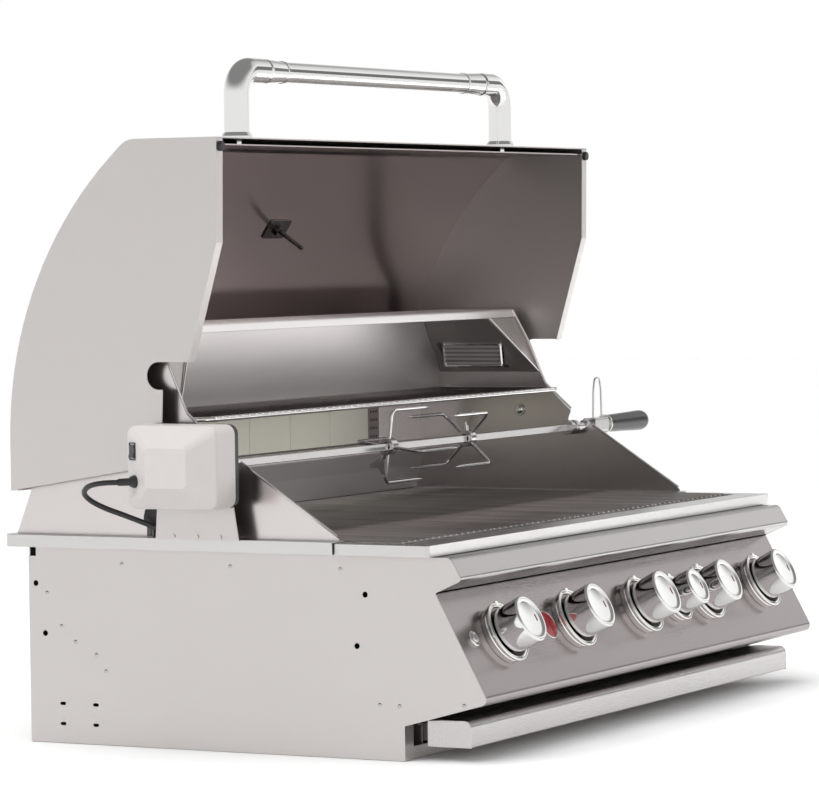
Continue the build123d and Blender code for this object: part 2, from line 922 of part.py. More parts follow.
# Push button of the interior lights
button_face = 4.6
button_tail = 16.0
button_travel = 3.0
button_dome = 1.0
with BuildPart() as light_button:
    cap = turned(
        on_panel(button_share, button_line),
        [
            (0, -button_tail),
            (button_radius - pin_clearance, -button_tail),
            (button_radius - pin_clearance, button_face - button_dome),
            (button_radius - button_dome, button_face),
            (0, button_face + button_dome / 2),
        ],
    )
    add(cap)
save(light_button, "light_button")

# Round badge, plain, with a polished rim
badge_share = -0.5233
badge_line = 79.0
badge_radius = 18.5
badge_thick = 2.4
badge_rim = 1.6
with BuildPart() as badge_disc:
    disc = turned(
        on_panel(badge_share, badge_line),
        [
            (0, 0),
            (badge_radius, 0),
            (badge_radius, badge_thick - gap * 2),
            (badge_radius - badge_rim / 2, badge_thick),
            (badge_radius - badge_rim, badge_thick - gap * 2),
            (0, badge_thick - gap * 2),
        ],
    )
    add(disc)
save(badge_disc, "badge_disc")

# Drip tray: a folded pan hung by its lips on two rails, behind a rounded front bar
tray_bar_half = 463.4
tray_bar_front = -336.0
tray_bar_deep = 40.0
tray_bar_low = 16.6
tray_bar_high = 48.0
tray_bar_bend = 9.0
tray_pan_half = 425.0
tray_pan_back = 225.0
tray_pan_low = 18.0
tray_pan_high = 40.0
tray_sheet = 1.2
tray_lip = 12.0
bar_back = tray_bar_front + tray_bar_deep
with BuildPart() as drip_tray_front:
    with BuildSketch(Plane.YZ.offset(-tray_bar_half)):
        with BuildLine():
            FilletPolyline(
                (bar_back, tray_bar_low),
                (tray_bar_front, tray_bar_low),
                (tray_bar_front, tray_bar_high),
                (bar_back, tray_bar_high),
                radius=[sheet, tray_bar_bend],
            )
            Line((bar_back, tray_bar_high), (bar_back, tray_bar_low))
        make_face()
    extrude(amount=tray_bar_half * 2)
    block(
        -tray_bar_half + sheet, tray_bar_half - sheet, tray_bar_front + sheet, bar_back + overrun,
        tray_bar_low + sheet, tray_bar_high - tray_bar_bend, mode=Mode.SUBTRACT,
    )
save(drip_tray_front, "drip_tray_front")

with BuildPart() as drip_tray_pan:
    tray_inside = tray_pan_half - tray_sheet
    block(-tray_pan_half, tray_pan_half, bar_back, tray_pan_back, tray_pan_low, tray_pan_high)
    block(
        -tray_pan_half - tray_lip, tray_pan_half + tray_lip, bar_back, tray_pan_back,
        tray_pan_high - tray_sheet, tray_pan_high,
    )
    block(
        -tray_inside, tray_inside, bar_back + tray_sheet, tray_pan_back - tray_sheet,
        tray_pan_low + tray_sheet, tray_pan_high + overrun, mode=Mode.SUBTRACT,
    )
save(drip_tray_pan, "drip_tray_pan")

rail_top = tray_pan_high - tray_sheet - gap
rail_front = front + sheet * 4
rail_back = back - sheet * 4
with BuildPart() as tray_rails:
    rail = bent_sheet(
        Plane.XZ.offset(-rail_back),
        [
            (tray_pan_half + tray_lip * 2, sheet),
            (tray_pan_half + sheet * 2, sheet),
            (tray_pan_half + sheet * 2, rail_top),
            (tray_pan_half + tray_lip, rail_top),
        ],
        [sheet * 2, sheet * 2],
        Side.RIGHT,
        rail_back - rail_front,
        tray_sheet,
    )
    add(rail)
    mirror(about=Plane.YZ)
save(tray_rails, "tray_rails")

# Spit: a square rod from the motor's socket to a collar and a round bushing in the right notch
rod_left = -528.0
collar_left = 455.0
collar_right = 479.4
collar_radius = 10.0
bushing_right = 527.0
bushing_radius = 6.9
groove_radius = 5.6
groove_wide = 3.0
spit_seat = Plane(origin=(0, spit_y, spit_z), x_dir=(0, 1, 0), z_dir=(1, 0, 0))
with BuildPart() as spit_rod:
    with BuildSketch(Plane.YZ.offset(rod_left)):
        with Locations((spit_y, spit_z)):
            Rectangle(rod_size, rod_size)
    extrude(amount=collar_left - rod_left)
    tip = spit_rod.faces().sort_by(Axis.X)[0]
    chamfer(tip.edges(), sheet)
save(spit_rod, "spit_rod")

with BuildPart() as spit_collar:
    collar = turned(
        spit_seat,
        [
            (0, collar_left),
            (collar_radius, collar_left),
            (collar_radius, collar_right),
            (bushing_radius, collar_right),
            (bushing_radius, wing_out + gap * 8),
            (groove_radius, wing_out + gap * 8 + groove_wide),
            (groove_radius, hood_half + groove_wide * 2),
            (bushing_radius, hood_half + groove_wide * 3),
            (bushing_radius, bushing_right),
            (0, bushing_right),
        ],
    )
    add(collar)
save(spit_collar, "spit_collar")

# Black grip at the end of the spit, with its square block, disc and wire loop
block_size = 20.0
block_left = 530.0
block_right = 570.0
grip_left = 580.0
grip_right = 699.0
grip_small = 12.0
grip_large = 14.5
grip_round = 7.0
grip_ease = 2.1
disc_radius = 13.0
disc_left = 575.0
loop_radius = 1.4
loop_top = 407.0
loop_left = 540.0
loop_bend = 6.0
with BuildPart() as spit_handle:
    with BuildSketch(Plane.YZ.offset(bushing_right)):
        with Locations((spit_y, spit_z)):
            RectangleRounded(block_size, block_size, sheet * 2)
    extrude(amount=block_right - bushing_right)
    grip = turned(
        spit_seat,
        [
            (0, block_right),
            (grip_small - sheet, block_right),
            (grip_small - sheet, disc_left),
            (disc_radius, disc_left),
            (disc_radius, disc_left + sheet * 2),
            (grip_small, grip_left),
            (grip_large, grip_right - grip_round),
            (grip_large - grip_ease, grip_right - grip_ease),
            (grip_large - grip_round, grip_right),
            (0, grip_right),
        ],
    )
    add(grip)
    loop_z = spit_z + block_size / 2 - loop_radius
    loop_right = block_right - loop_radius * 2
    with BuildLine() as loop_path:
        FilletPolyline(
            (loop_left, spit_y, loop_z),
            (loop_left, spit_y, loop_top),
            (loop_right, spit_y, loop_top),
            (loop_right, spit_y, loop_z),
            radius=loop_bend,
        )
    with BuildSketch(Plane(origin=loop_path.line @ 0, z_dir=loop_path.line % 0)):
        Circle(loop_radius)
    sweep()
save(spit_handle, "spit_handle")

# Forks: a hub with four arms whose ends turn along the rod as pointed tines, held by a thumb screw
fork_arm = 47.0
tine_radius = 2.2
tine_long = 100.0
tine_point = 14.0
tine_bend = 9.0
hub_half = 11.0
hub_long = 16.0
fork_left_x = -64.0
fork_right_x = 154.0
screw_radius = 3.0
screw_reach = 26.0
thumb_long = 23.4
thumb_wide = 13.5
thumb_thick = 5.0


def fork(hub_x, toward, turn, screw_turn):
    """One fork: toward is the way its tines point, turn the angle of its first arm."""
    with BuildPart() as piece:
        with BuildSketch(Plane.YZ.offset(hub_x - hub_long / 2)):
            with Locations((spit_y, spit_z)):
                Circle(hub_half)
                Rectangle(rod_size + gap * 2, rod_size + gap * 2, mode=Mode.SUBTRACT)
        extrude(amount=hub_long)
        for arm in range(4):
            angle = radians(turn + arm * 90)
            out = Vector(0, cos(angle), sin(angle))
            middle = Vector(hub_x, spit_y, spit_z)
            root = middle + out * (hub_half - tine_radius)
            elbow = middle + out * fork_arm
            point = elbow + Vector(toward * (tine_long - tine_point), 0, 0)
            with BuildLine() as tine_path:
                FilletPolyline(root, elbow, point, radius=tine_bend)
            with BuildSketch(Plane(origin=root, z_dir=out)):
                RegularPolygon(tine_radius, 8)
            sweep(path=tine_path.line)
            with BuildSketch(Plane(origin=point, x_dir=out, z_dir=(toward, 0, 0))):
                RegularPolygon(tine_radius, 8)
            with BuildSketch(
                Plane(
                    origin=point + Vector(toward * tine_point, 0, 0), x_dir=out,
                    z_dir=(toward, 0, 0),
                )
            ):
                RegularPolygon(tine_radius / 4, 8)
            loft()
        lean = radians(screw_turn)
        way = Vector(0, cos(lean), sin(lean))
        screw_seat = Plane(
            origin=Vector(hub_x, spit_y, spit_z) + way * (hub_half - sheet), x_dir=(1, 0, 0),
            z_dir=way,
        )
        with BuildSketch(screw_seat):
            Circle(screw_radius)
        extrude(amount=screw_reach)
        with BuildSketch(Plane(screw_seat.origin + way * screw_reach, x_dir=way,
                               z_dir=(1, 0, 0)).offset(-thumb_thick / 2)):
            SlotOverall(thumb_long, thumb_wide, rotation=90)
        extrude(amount=thumb_thick)
    return piece


fork_left_turn = 90
fork_right_turn = 38
screw_left_turn = -50
screw_right_turn = 82
save(fork(fork_left_x, 1, fork_left_turn, screw_left_turn), "fork_left")
save(fork(fork_right_x, -1, fork_right_turn, screw_right_turn), "fork_right")

# Motor bracket: a plate on the flange's edge with a folded foot behind it
bracket_out = 505.0
bracket_front_shares = [(0.0, 0.0), (0.056, 0.297), (0.056, 0.85), (0.13, 1.0)]
bracket_back_shares = [(0.93, 1.0), (0.975, 0.85), (0.975, 0.297), (1.0, 0.0)]
bracket_y = -52.4
bracket_deep = 114.9
bracket_low = 253.0
bracket_high = 385.0
foot_inner = 484.0
foot_front = -27.0
foot_back = 37.4
foot_rise = 12.0
bracket_screw = 2.5
bracket_screw_head = 1.4
socket_hole = 10.0
bracket_screw_shares = [0.222, 0.498, 0.782]
bracket_face = bracket_out - sheet
with BuildPart() as motor_bracket:
    with BuildSketch(Plane.YZ.offset(-bracket_out)):
        with BuildLine():
            Polyline(
                *[
                    (
                        bracket_y + y * bracket_deep,
                        bracket_low + z * (bracket_high - bracket_low),
                    )
                    for y, z in bracket_front_shares + bracket_back_shares
                ],
                close=True,
            )
        make_face()
        with Locations((spit_y, spit_z)):
            Circle(socket_hole, mode=Mode.SUBTRACT)
    extrude(amount=sheet)
    foot_top = flange_top + foot_rise
    block(-bracket_face, -bracket_face + sheet, foot_front, foot_back, flange_top, foot_top)
    block(-bracket_face, -foot_inner, foot_front, foot_back, flange_top, flange_top + sheet)
    for share in bracket_screw_shares:
        screw_y = bracket_y + share * bracket_deep
        with BuildSketch(Plane.YZ.offset(-bracket_out)):
            with Locations((screw_y, flange_top + bracket_screw + gap)):
                Circle(bracket_screw)
        extrude(amount=-bracket_screw_head)
save(motor_bracket, "motor_bracket")

# Motor: a gasket, a base and a tapered cap, with a rocker switch and a gland on the rear slope
motor_front = -54.0
motor_back = 69.0
motor_low = 292.0
motor_high = 391.0
motor_corner = 12.0
gasket_out = 513.0
base_out = 555.0
cap_out = 577.0
cap_front = -22.0
cap_back = 31.0
cap_low = 318.0
cap_high = 365.0
cap_corner = 8.0
socket_radius = 8.5
socket_recess = 24.0
motor_middle = ((motor_front + motor_back) / 2, (motor_low + motor_high) / 2)
cap_middle = ((cap_front + cap_back) / 2, (cap_low + cap_high) / 2)
rocker_long = 18.0
rocker_wide = 12.0
rocker_deep = 6.0
rocker_share = 0.32
rocker_z = 360.5
slope = Vector(base_out - cap_out, cap_back - motor_back, 0)
slope_out = Vector(-(motor_back - cap_back), cap_out - base_out, 0).normalized()
slope_along = slope.normalized()
gland_share = 0.42
gland_z = 325.0
cord_radius = 3.25


def on_slope(share, z):
    """Seat on the rear slope of the motor's cap."""
    base = Vector(-base_out, motor_back, z)
    return Plane(origin=base + slope * share, x_dir=slope_along, z_dir=slope_out)


with BuildPart() as motor_gasket:
    with BuildSketch(Plane.YZ.offset(-gasket_out)):
        with Locations(motor_middle):
            RectangleRounded(motor_back - motor_front, motor_high - motor_low, motor_corner)
        with Locations((spit_y, spit_z)):
            Circle(socket_hole, mode=Mode.SUBTRACT)
    extrude(amount=gasket_out - bracket_out)
save(motor_gasket, "motor_gasket")

with BuildPart() as motor_housing:
    with BuildSketch(Plane.YZ.offset(-base_out)) as base_end:
        with Locations(motor_middle):
            RectangleRounded(motor_back - motor_front, motor_high - motor_low, motor_corner)
    extrude(amount=base_out - gasket_out)
    with BuildSketch(Plane.YZ.offset(-base_out)):
        with Locations(motor_middle):
            RectangleRounded(motor_back - motor_front, motor_high - motor_low, motor_corner)
    with BuildSketch(Plane.YZ.offset(-cap_out)):
        with Locations(cap_middle):
            RectangleRounded(cap_back - cap_front, cap_high - cap_low, cap_corner)
    loft()
    with BuildSketch(on_slope(rocker_share, rocker_z).offset(-rocker_deep)):
        Rectangle(rocker_wide + gap * 2, rocker_long + gap * 2)
    extrude(amount=rocker_deep + overrun, mode=Mode.SUBTRACT)
    with BuildSketch(Plane.YZ.offset(-gasket_out)):
        with Locations((spit_y, spit_z)):
            Circle(socket_hole)
    extrude(amount=-socket_recess, mode=Mode.SUBTRACT)
save(motor_housing, "motor_housing")

# The rocker tips about the axis of its round hub, which lies in the slope's face
rocker_proud = 3.0
rocker_hub = 3.5
with BuildPart() as rocker_switch:
    seat = on_slope(rocker_share, rocker_z)
    rocker_half = rocker_long / 2 - sheet
    hub_reach = sqrt(rocker_hub**2 - sheet**2)
    with BuildSketch(Plane(seat.origin - slope_along * (rocker_wide / 2), x_dir=(0, 0, 1),
                           z_dir=slope_along)):
        with BuildLine():
            Polyline(
                (hub_reach, -sheet),
                (rocker_half, -sheet),
                (rocker_half, rocker_proud),
                (0, rocker_proud / 2),
                (-rocker_half, rocker_proud),
                (-rocker_half, -sheet),
                (-hub_reach, -sheet),
            )
            ThreePointArc((-hub_reach, -sheet), (0, -rocker_hub), (hub_reach, -sheet))
        make_face()
    extrude(amount=rocker_wide)
save(rocker_switch, "rocker_switch")

socket_left = 535.0
with BuildPart() as drive_socket:
    with BuildSketch(Plane.YZ.offset(-socket_left)):
        with Locations((spit_y, spit_z)):
            Circle(socket_radius)
    extrude(amount=socket_left - bracket_face)
    with BuildSketch(Plane.YZ.offset(rod_left - gap)):
        with Locations((spit_y, spit_z)):
            Rectangle(rod_size + socket_play * 2, rod_size + socket_play * 2)
    extrude(amount=-rod_left - bracket_face + overrun, mode=Mode.SUBTRACT)
save(drive_socket, "drive_socket")

gland_radius = 6.5
gland_tip = 4.4
gland_long = 9.0
with BuildPart() as cord_gland:
    gland = turned(
        on_slope(gland_share, gland_z),
        [
            (0, 0),
            (gland_radius, 0),
            (gland_radius, gland_long / 3),
            (gland_tip, gland_long / 2),
            (gland_tip - gap, gland_long),
            (0, gland_long),
        ],
    )
    add(gland)
save(cord_gland, "cord_gland")

# Supply cord of the motor: a loop behind the motor, a coil on the bracket's foot, then the plug
cord_turn_share = 0.45
cord_sides = 8
cord_first_run = 14.0
coil_radius = 42.5
coil_pitch = 7.0
coil_y = 21.0
coil_x = -495.5
coil_layer_half_turns = 4
plug_run = 20.0
plug_turns = [0, 30, 60, 90]
coil_z = flange_top + sheet + gap + coil_radius + cord_radius
coil_straight = cord_radius * 2
coil_lead = 22.1
gland_seat = on_slope(gland_share, gland_z)
gland_end = gland_seat.origin + slope_out * gland_long
loop_points = [
    (-593, 83, 324.5),
    (-589, 104, 320),
    (-576, 118, 311),
    (-557, 121, 301),
    (-538, 113, 291),
    (-521, 100, 283),
    (-507, 83, 274),
    (-497.5, 63, 265),
]


def tube(points):
    """Round cord along straight runs and arcs, each arc as large as its two runs allow."""
    spots = [Vector(*point) for point in points]
    runs = [b - a for a, b in zip(spots, spots[1:])]
    bends = []
    for before, after in zip(runs, runs[1:]):
        turn = radians(before.get_angle(after))
        shorter = min(before.length, after.length)
        bends.append(cord_turn_share * shorter / tan(turn / 2))
    with BuildPart() as piece:
        with BuildLine() as path:
            FilletPolyline(*spots, radius=bends)
        with BuildSketch(Plane(origin=path.line @ 0, z_dir=path.line % 0)):
            section = RegularPolygon(cord_radius, cord_sides)
        sweep()
    length = path.wires()[0].length
    wanted = length * section.area
    print("cord length", round(length, 1), "radii", [round(r, 1) for r in bends])
    print("cord volume over section times length", round(piece.part.volume / wanted, 4))
    return piece.part


first_route = (
    [gland_end, gland_end + slope_out * cord_first_run]
    + loop_points
    + [
        (coil_x, coil_y + coil_lead, coil_z - coil_radius),
        (coil_x, coil_y + coil_straight, coil_z - coil_radius),
    ]
)
second_route = [Vector(coil_x + coil_pitch, coil_y + coil_straight, coil_z + coil_radius)]
for turn in plug_turns:
    step = Vector(0, cos(radians(turn)), -sin(radians(turn))) * plug_run
    second_route.append(second_route[-1] + step)
with BuildPart() as motor_cord:
    add(tube(first_route))
    add(tube(second_route))
save(motor_cord, "motor_cord")

# The coil: half turns that shrink by half a pitch in the outer layer, climb, and grow in the inner
turn_radii = [coil_radius - coil_pitch / 2 * i for i in range(coil_layer_half_turns)]
climb_radius = coil_radius - coil_pitch / 2 * coil_layer_half_turns
half_turns = [(r, 0) for r in turn_radii] + [(climb_radius, coil_pitch)]
half_turns += [(r, 0) for r in reversed(turn_radii)]
with BuildPart() as cord_coil:
    with BuildLine() as coil_path:
        spot = Vector(coil_x, coil_y, coil_z - coil_radius)
        Line(spot + Vector(0, coil_straight, 0), spot)
        way = 1
        for radius, climb in half_turns:
            end = spot + Vector(climb, 0, way * radius * 2)
            reach = sqrt(radius**2 + (climb / 2) ** 2)
            ThreePointArc(spot, (spot + end) / 2 + Vector(0, -way * reach, 0), end)
            spot = end
            way = -way
        Line(spot, spot + Vector(0, coil_straight, 0))
    with BuildSketch(Plane(origin=coil_path.line @ 0, z_dir=coil_path.line % 0)):
        coil_section = RegularPolygon(cord_radius, cord_sides)
    sweep()
coil_wire = coil_path.wires()[0]
coil_length = coil_wire.length
samples = [coil_wire @ (i / 600) for i in range(601)]
near = round(600 * climb_radius * pi / coil_length)
least = min(
    (samples[j] - samples[i]).length
    for i in range(601)
    for j in range(i + near, 601)
)
print("coil length", round(coil_length, 1), "least gap to itself", round(least - cord_radius * 2, 2))
wanted = coil_length * coil_section.area
print("coil volume over section times length", round(cord_coil.part.volume / wanted, 4))
save(cord_coil, "cord_coil")

# Three pin plug, standing on its pins on the flange beside the coil
plug_wide = 24.0
plug_thick = 12.0
plug_body = 20.0
plug_round = 3.0
plug_neck = 5.0
plug_neck_long = 7.5
plug_top_thick_share = 0.85
plug_top_wide_share = 0.7
pin_wide = 6.3
pin_thick = 1.5
pin_step = 12.7
earth_radius = 2.4
plug_top = second_route[-1]
plug_high = plug_top.Z - plug_neck_long
plug_bottom = plug_high - plug_body
with BuildPart() as motor_plug:
    with BuildSketch(Plane(origin=(plug_top.X, plug_top.Y, plug_bottom))):
        RectangleRounded(plug_thick, plug_wide, plug_round)
    with BuildSketch(Plane(origin=(plug_top.X, plug_top.Y, plug_high))):
        RectangleRounded(
                plug_thick * plug_top_thick_share, plug_wide * plug_top_wide_share, plug_round
            )
    loft()
    neck = turned(
        Plane(origin=(plug_top.X, plug_top.Y, plug_high)),
        [
            (0, 0),
            (plug_neck, 0),
            (cord_radius + gap * 2, plug_top.Z - plug_high),
            (0, plug_top.Z - plug_high),
        ],
    )
    add(neck)
    with BuildSketch(Plane(origin=(plug_top.X, plug_top.Y, plug_bottom))):
        with GridLocations(plug_thick, pin_step, 1, 2):
            Rectangle(pin_thick, pin_wide)
        Circle(earth_radius)
    extrude(amount=-(plug_bottom - flange_top - gap))
save(motor_plug, "motor_plug")

# Hood, drawn open. One profile serves the outer skin and, set in, the liner
hood_arc_end = 47.37
hood_round = 30.0
hood_lip = 13.0
hood_notch_y = 57.0
hood_notch_z = 447.0
hood_notch_radius = 16.5
skin_half = hood_half - sheet
hood_edge = [
    (106.0, 333.0),
    (53.0, 345.0),
    (53.0, 391.0),
    (52.0, 431.0),
    (44.0, 463.0),
    (15.0, 463.0),
    (-26.0, 604.0),
]
dial_angle = 34.1
screw_hole = 3.2
post_y = 31.4
post_x = 353.0


def hood_line(inset, front_y):
    """Line of the hood from its front edge over the roof and down its round back."""
    angle = radians(hood_arc_end)
    radius = hood_radius - inset
    roof = hood_roof - inset
    start = (hood_arc_y + radius * cos(angle), hood_arc_z + radius * sin(angle))
    run = (roof - start[1]) / cos(angle)
    FilletPolyline(
        (front_y, roof), (start[0] - run * sin(angle), roof), start, radius=hood_round - inset
    )
    CenterArc((hood_arc_y, hood_arc_z), radius, hood_arc_end, -hood_arc_end)
    Line((hood_arc_y + radius, hood_arc_z), (hood_arc_y + radius, hood_low))


dial_out = Vector(0, cos(radians(dial_angle)), sin(radians(dial_angle)))
dial_seat = Plane(
    origin=Vector(0, hood_arc_y, hood_arc_z) + dial_out * hood_radius, x_dir=(1, 0, 0),
    z_dir=dial_out,
)
with BuildPart() as hood_skin:
    with BuildSketch(Plane.YZ.offset(-skin_half)):
        with BuildLine():
            hood_line(0, hood_front)
            offset(amount=sheet, side=Side.RIGHT)
        make_face()
    extrude(amount=skin_half * 2)
    with BuildSketch(Plane.XY.offset(hood_roof - sheet - overrun)):
        with Locations((-post_x, post_y), (post_x, post_y)):
            Circle(screw_hole)
    extrude(amount=overrun * 2 + sheet, mode=Mode.SUBTRACT)
    with BuildSketch(dial_seat.offset(-overrun)):
        Circle(screw_hole)
    extrude(amount=overrun * 2, mode=Mode.SUBTRACT)
save(hood_skin, "hood_skin")

with BuildPart() as hood_liner:
    with BuildSketch(Plane.YZ.offset(-skin_half)):
        with BuildLine():
            hood_line(liner_gap, hood_front + sheet + gap)
            offset(amount=sheet, side=Side.RIGHT)
        make_face()
    extrude(amount=skin_half * 2)
    with BuildSketch(dial_seat.offset(-liner_gap * 2)):
        Circle(screw_hole)
    extrude(amount=liner_gap * 2, mode=Mode.SUBTRACT)
save(hood_liner, "hood_liner")

with BuildPart() as hood_sides:
    with BuildSketch(Plane.YZ.offset(skin_half)):
        with BuildLine():
            hood_line(0, hood_front)
            Polyline((hood_arc_y + hood_radius, hood_low), *hood_edge, (hood_front, hood_roof))
        make_face()
        with Locations((hinge_y, hinge_z)):
            Circle(pin_radius + pin_clearance, mode=Mode.SUBTRACT)
        with Locations((hood_notch_y, hood_notch_z)):
            Circle(hood_notch_radius, mode=Mode.SUBTRACT)
        area(
            hood_front, hood_notch_y, hood_notch_z - hood_notch_radius,
            hood_notch_z + hood_notch_radius, mode=Mode.SUBTRACT,
        )
    extrude(amount=sheet)
    lip = bent_sheet(
        Plane.YZ.offset(skin_half - hood_lip),
        [(hood_front, hood_roof - sheet - gap), hood_edge[-1], hood_edge[-2]],
        [sheet * 4],
        Side.LEFT,
        hood_lip,
    )
    add(lip)
    mirror(about=Plane.YZ)
save(hood_sides, "hood_sides")

# Rubber bumpers under the hood's front corners when it is shut
bumper_radius = 6.0
bumper_thick = 4.6
bumper_drop = 11.0
bumper_round = 1.2
with BuildPart() as hood_bumpers:
    bumper = turned(
        Plane(
            origin=(skin_half - bumper_radius, hood_front, hood_roof - bumper_drop),
            x_dir=(1, 0, 0),
            z_dir=(0, -1, 0),
        ),
        [
            (0, 0),
            (bumper_radius, 0),
            (bumper_radius, bumper_thick - bumper_round),
            (bumper_radius - bumper_round, bumper_thick),
            (0, bumper_thick),
        ],
    )
    add(bumper)
    mirror(about=Plane.YZ)
save(hood_bumpers, "hood_bumpers")

# Handle: a straight bar between two turned elbows on the hood's roof
bar_radius = 13.0
bar_half = 241.0
bar_z = 813.8
ring_wide = 5.0
post_ring = 14.2
cone_small = 13.5
post_radius = 15.5
cone_end = 292.0
elbow_bend = 57.0
foot_radius = 19.0
foot_high = 9.0
screw_head = 6.0
screw_head_high = 4.0
with BuildPart() as handle_bar:
    with BuildSketch(Plane.YZ.offset(-bar_half)):
        with Locations((post_y, bar_z)):
            Circle(bar_radius)
    extrude(amount=bar_half * 2)
save(handle_bar, "handle_bar")

bar_seat = Plane(origin=(0, post_y, bar_z), x_dir=(0, 1, 0), z_dir=(1, 0, 0))
with BuildPart() as handle_posts:
    sleeve = turned(
        bar_seat,
        [
            (0, bar_half),
            (post_ring, bar_half),
            (post_ring, bar_half + ring_wide),
            (cone_small, bar_half + ring_wide),
            (post_radius, cone_end),
            (0, cone_end),
        ],
    )
    add(sleeve)
    with BuildLine() as elbow_path:
        FilletPolyline(
            (cone_end, post_y, bar_z),
            (post_x, post_y, bar_z),
            (post_x, post_y, hood_roof + foot_high),
            radius=elbow_bend,
        )
    with BuildSketch(Plane(origin=elbow_path.line @ 0, z_dir=elbow_path.line % 0)):
        Circle(post_radius)
    sweep()
    foot = turned(
        Plane(origin=(post_x, post_y, hood_roof)),
        [
            (0, -sheet - gap - screw_head_high),
            (screw_head, -sheet - gap - screw_head_high),
            (screw_head, -sheet - gap),
            (screw_hole - gap, -sheet - gap),
            (screw_hole - gap, 0),
            (foot_radius, 0),
            (foot_radius, foot_high / 2),
            (post_radius + gap * 2, foot_high),
            (0, foot_high),
        ],
    )
    add(foot)
    mirror(about=Plane.YZ)
save(handle_posts, "handle_posts")

# Thermometer: dial on the outside, stem through both skins, clamp plate and nut on the liner
dial_radius = 37.5
dial_thick = 11.0
dial_rim = 3.0
stem_radius = 2.9
stem_long = 57.0
clamp_long = 54.0
clamp_wide = 28.0
clamp_nut = 8.0
clamp_nut_thick = 5.0
with BuildPart() as thermometer:
    dial = turned(
        dial_seat,
        [
            (0, -stem_long),
            (stem_radius, -stem_long),
            (stem_radius, 0),
            (dial_radius - dial_rim, 0),
            (dial_radius, dial_rim),
            (dial_radius, dial_thick - dial_rim / 2),
            (dial_radius - dial_rim / 2, dial_thick),
            (dial_radius - dial_rim, dial_thick - dial_rim / 2),
            (0, dial_thick - dial_rim / 2),
        ],
    )
    add(dial)
    clamp_top = liner_gap + sheet + gap * 2
    with BuildSketch(dial_seat.offset(-clamp_top)):
        RectangleRounded(clamp_long, clamp_wide, sheet * 2)
    extrude(amount=-sheet)
    with BuildSketch(dial_seat.offset(-clamp_top - sheet)):
        RegularPolygon(clamp_nut, 6)
    extrude(amount=-clamp_nut_thick)
save(thermometer, "thermometer")
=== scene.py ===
import json
import math

import bmesh
import bpy
import numpy as np
from mathutils import Matrix, Vector


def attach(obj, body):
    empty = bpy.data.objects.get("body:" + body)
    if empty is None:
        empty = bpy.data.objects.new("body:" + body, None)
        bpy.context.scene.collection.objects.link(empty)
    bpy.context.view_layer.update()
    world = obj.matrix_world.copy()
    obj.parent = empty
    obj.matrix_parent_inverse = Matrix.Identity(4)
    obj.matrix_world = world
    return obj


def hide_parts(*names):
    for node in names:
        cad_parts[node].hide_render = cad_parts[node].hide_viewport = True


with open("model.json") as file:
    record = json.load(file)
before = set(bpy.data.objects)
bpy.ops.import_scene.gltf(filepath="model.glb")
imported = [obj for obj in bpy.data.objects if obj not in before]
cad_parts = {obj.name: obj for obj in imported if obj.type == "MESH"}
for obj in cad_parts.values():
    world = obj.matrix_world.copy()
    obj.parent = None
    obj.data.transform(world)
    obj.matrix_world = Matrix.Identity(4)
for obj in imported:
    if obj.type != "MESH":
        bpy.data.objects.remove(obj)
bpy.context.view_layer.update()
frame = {"nodes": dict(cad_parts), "record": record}
scene = bpy.context.scene


# Camera: it stands to the left of the grill at the height of the open hood's foot, far off with a
# long lens, as the photograph was taken.
CAMERA_PLACE = (-4.60517, -2.48285, 0.60134)
CAMERA_YAW = math.radians(28.216)
CAMERA_PITCH = math.radians(2.2238)
CAMERA_ROLL = math.radians(-0.7912)
LENS_MM = 178.3
SENSOR_MM = 36.0
FAR_CLIP = 50.0


def put(name, data):
    """A new object of the scene, made from its data."""
    made = bpy.data.objects.new(name, data)
    scene.collection.objects.link(made)
    return made


forward = Vector((
    math.cos(CAMERA_PITCH) * math.cos(CAMERA_YAW),
    math.cos(CAMERA_PITCH) * math.sin(CAMERA_YAW),
    -math.sin(CAMERA_PITCH),
))
level = Vector((math.sin(CAMERA_YAW), -math.cos(CAMERA_YAW), 0))
upright = level.cross(forward)
across = math.cos(CAMERA_ROLL) * level + math.sin(CAMERA_ROLL) * upright
upward = math.cos(CAMERA_ROLL) * upright - math.sin(CAMERA_ROLL) * level
camera_data = bpy.data.cameras.new("camera")
camera_data.lens = LENS_MM
camera_data.sensor_width = SENSOR_MM
camera_data.sensor_fit = "HORIZONTAL"
camera_data.clip_end = FAR_CLIP
camera = put("camera", camera_data)
turn = Matrix((across, upward, -forward)).transposed().to_4x4()
camera.matrix_world = Matrix.Translation(CAMERA_PLACE) @ turn
scene.camera = camera


# Supply cord of the spit motor: black rubber, 6.5 mm thick. It leaves the motor's rear slope, bows
# out behind the bracket, is wound into a coil on the bracket's foot and ends in its plug.
MM = 0.001
CORD_RADIUS = 3.25
GLAND_SEAT = np.array([-564.24, 53.04, 325.0])
GLAND_WAY = np.array([-0.86543, 0.50103, 0.0])
GLAND_LONG = 9.0
CORD_LEAD = 14.0
COIL_START = np.array([-495.5, 21.0, 259.05])
COIL_CLIMB = 7.0
COIL_RADII = [42.5, 39.0, 35.5, 32.0, 28.5, 32.0, 35.5, 39.0, 42.5]
COIL_STEPS = 6
COIL_ENTRY = 22.1
CORD_STRAIGHT = 6.5
PLUG_RUN = 20.0
cord_exit = GLAND_SEAT + GLAND_WAY * GLAND_LONG
route = [
    cord_exit,
    cord_exit + GLAND_WAY * CORD_LEAD,
    (-593, 83, 324.5), (-589, 104, 320), (-576, 118, 311), (-557, 121, 301),
    (-538, 113, 291), (-521, 100, 283), (-507, 83, 274), (-497.5, 63, 265),
    COIL_START + np.array([0, COIL_ENTRY, 0]),
    COIL_START + np.array([0, CORD_STRAIGHT, 0]),
]
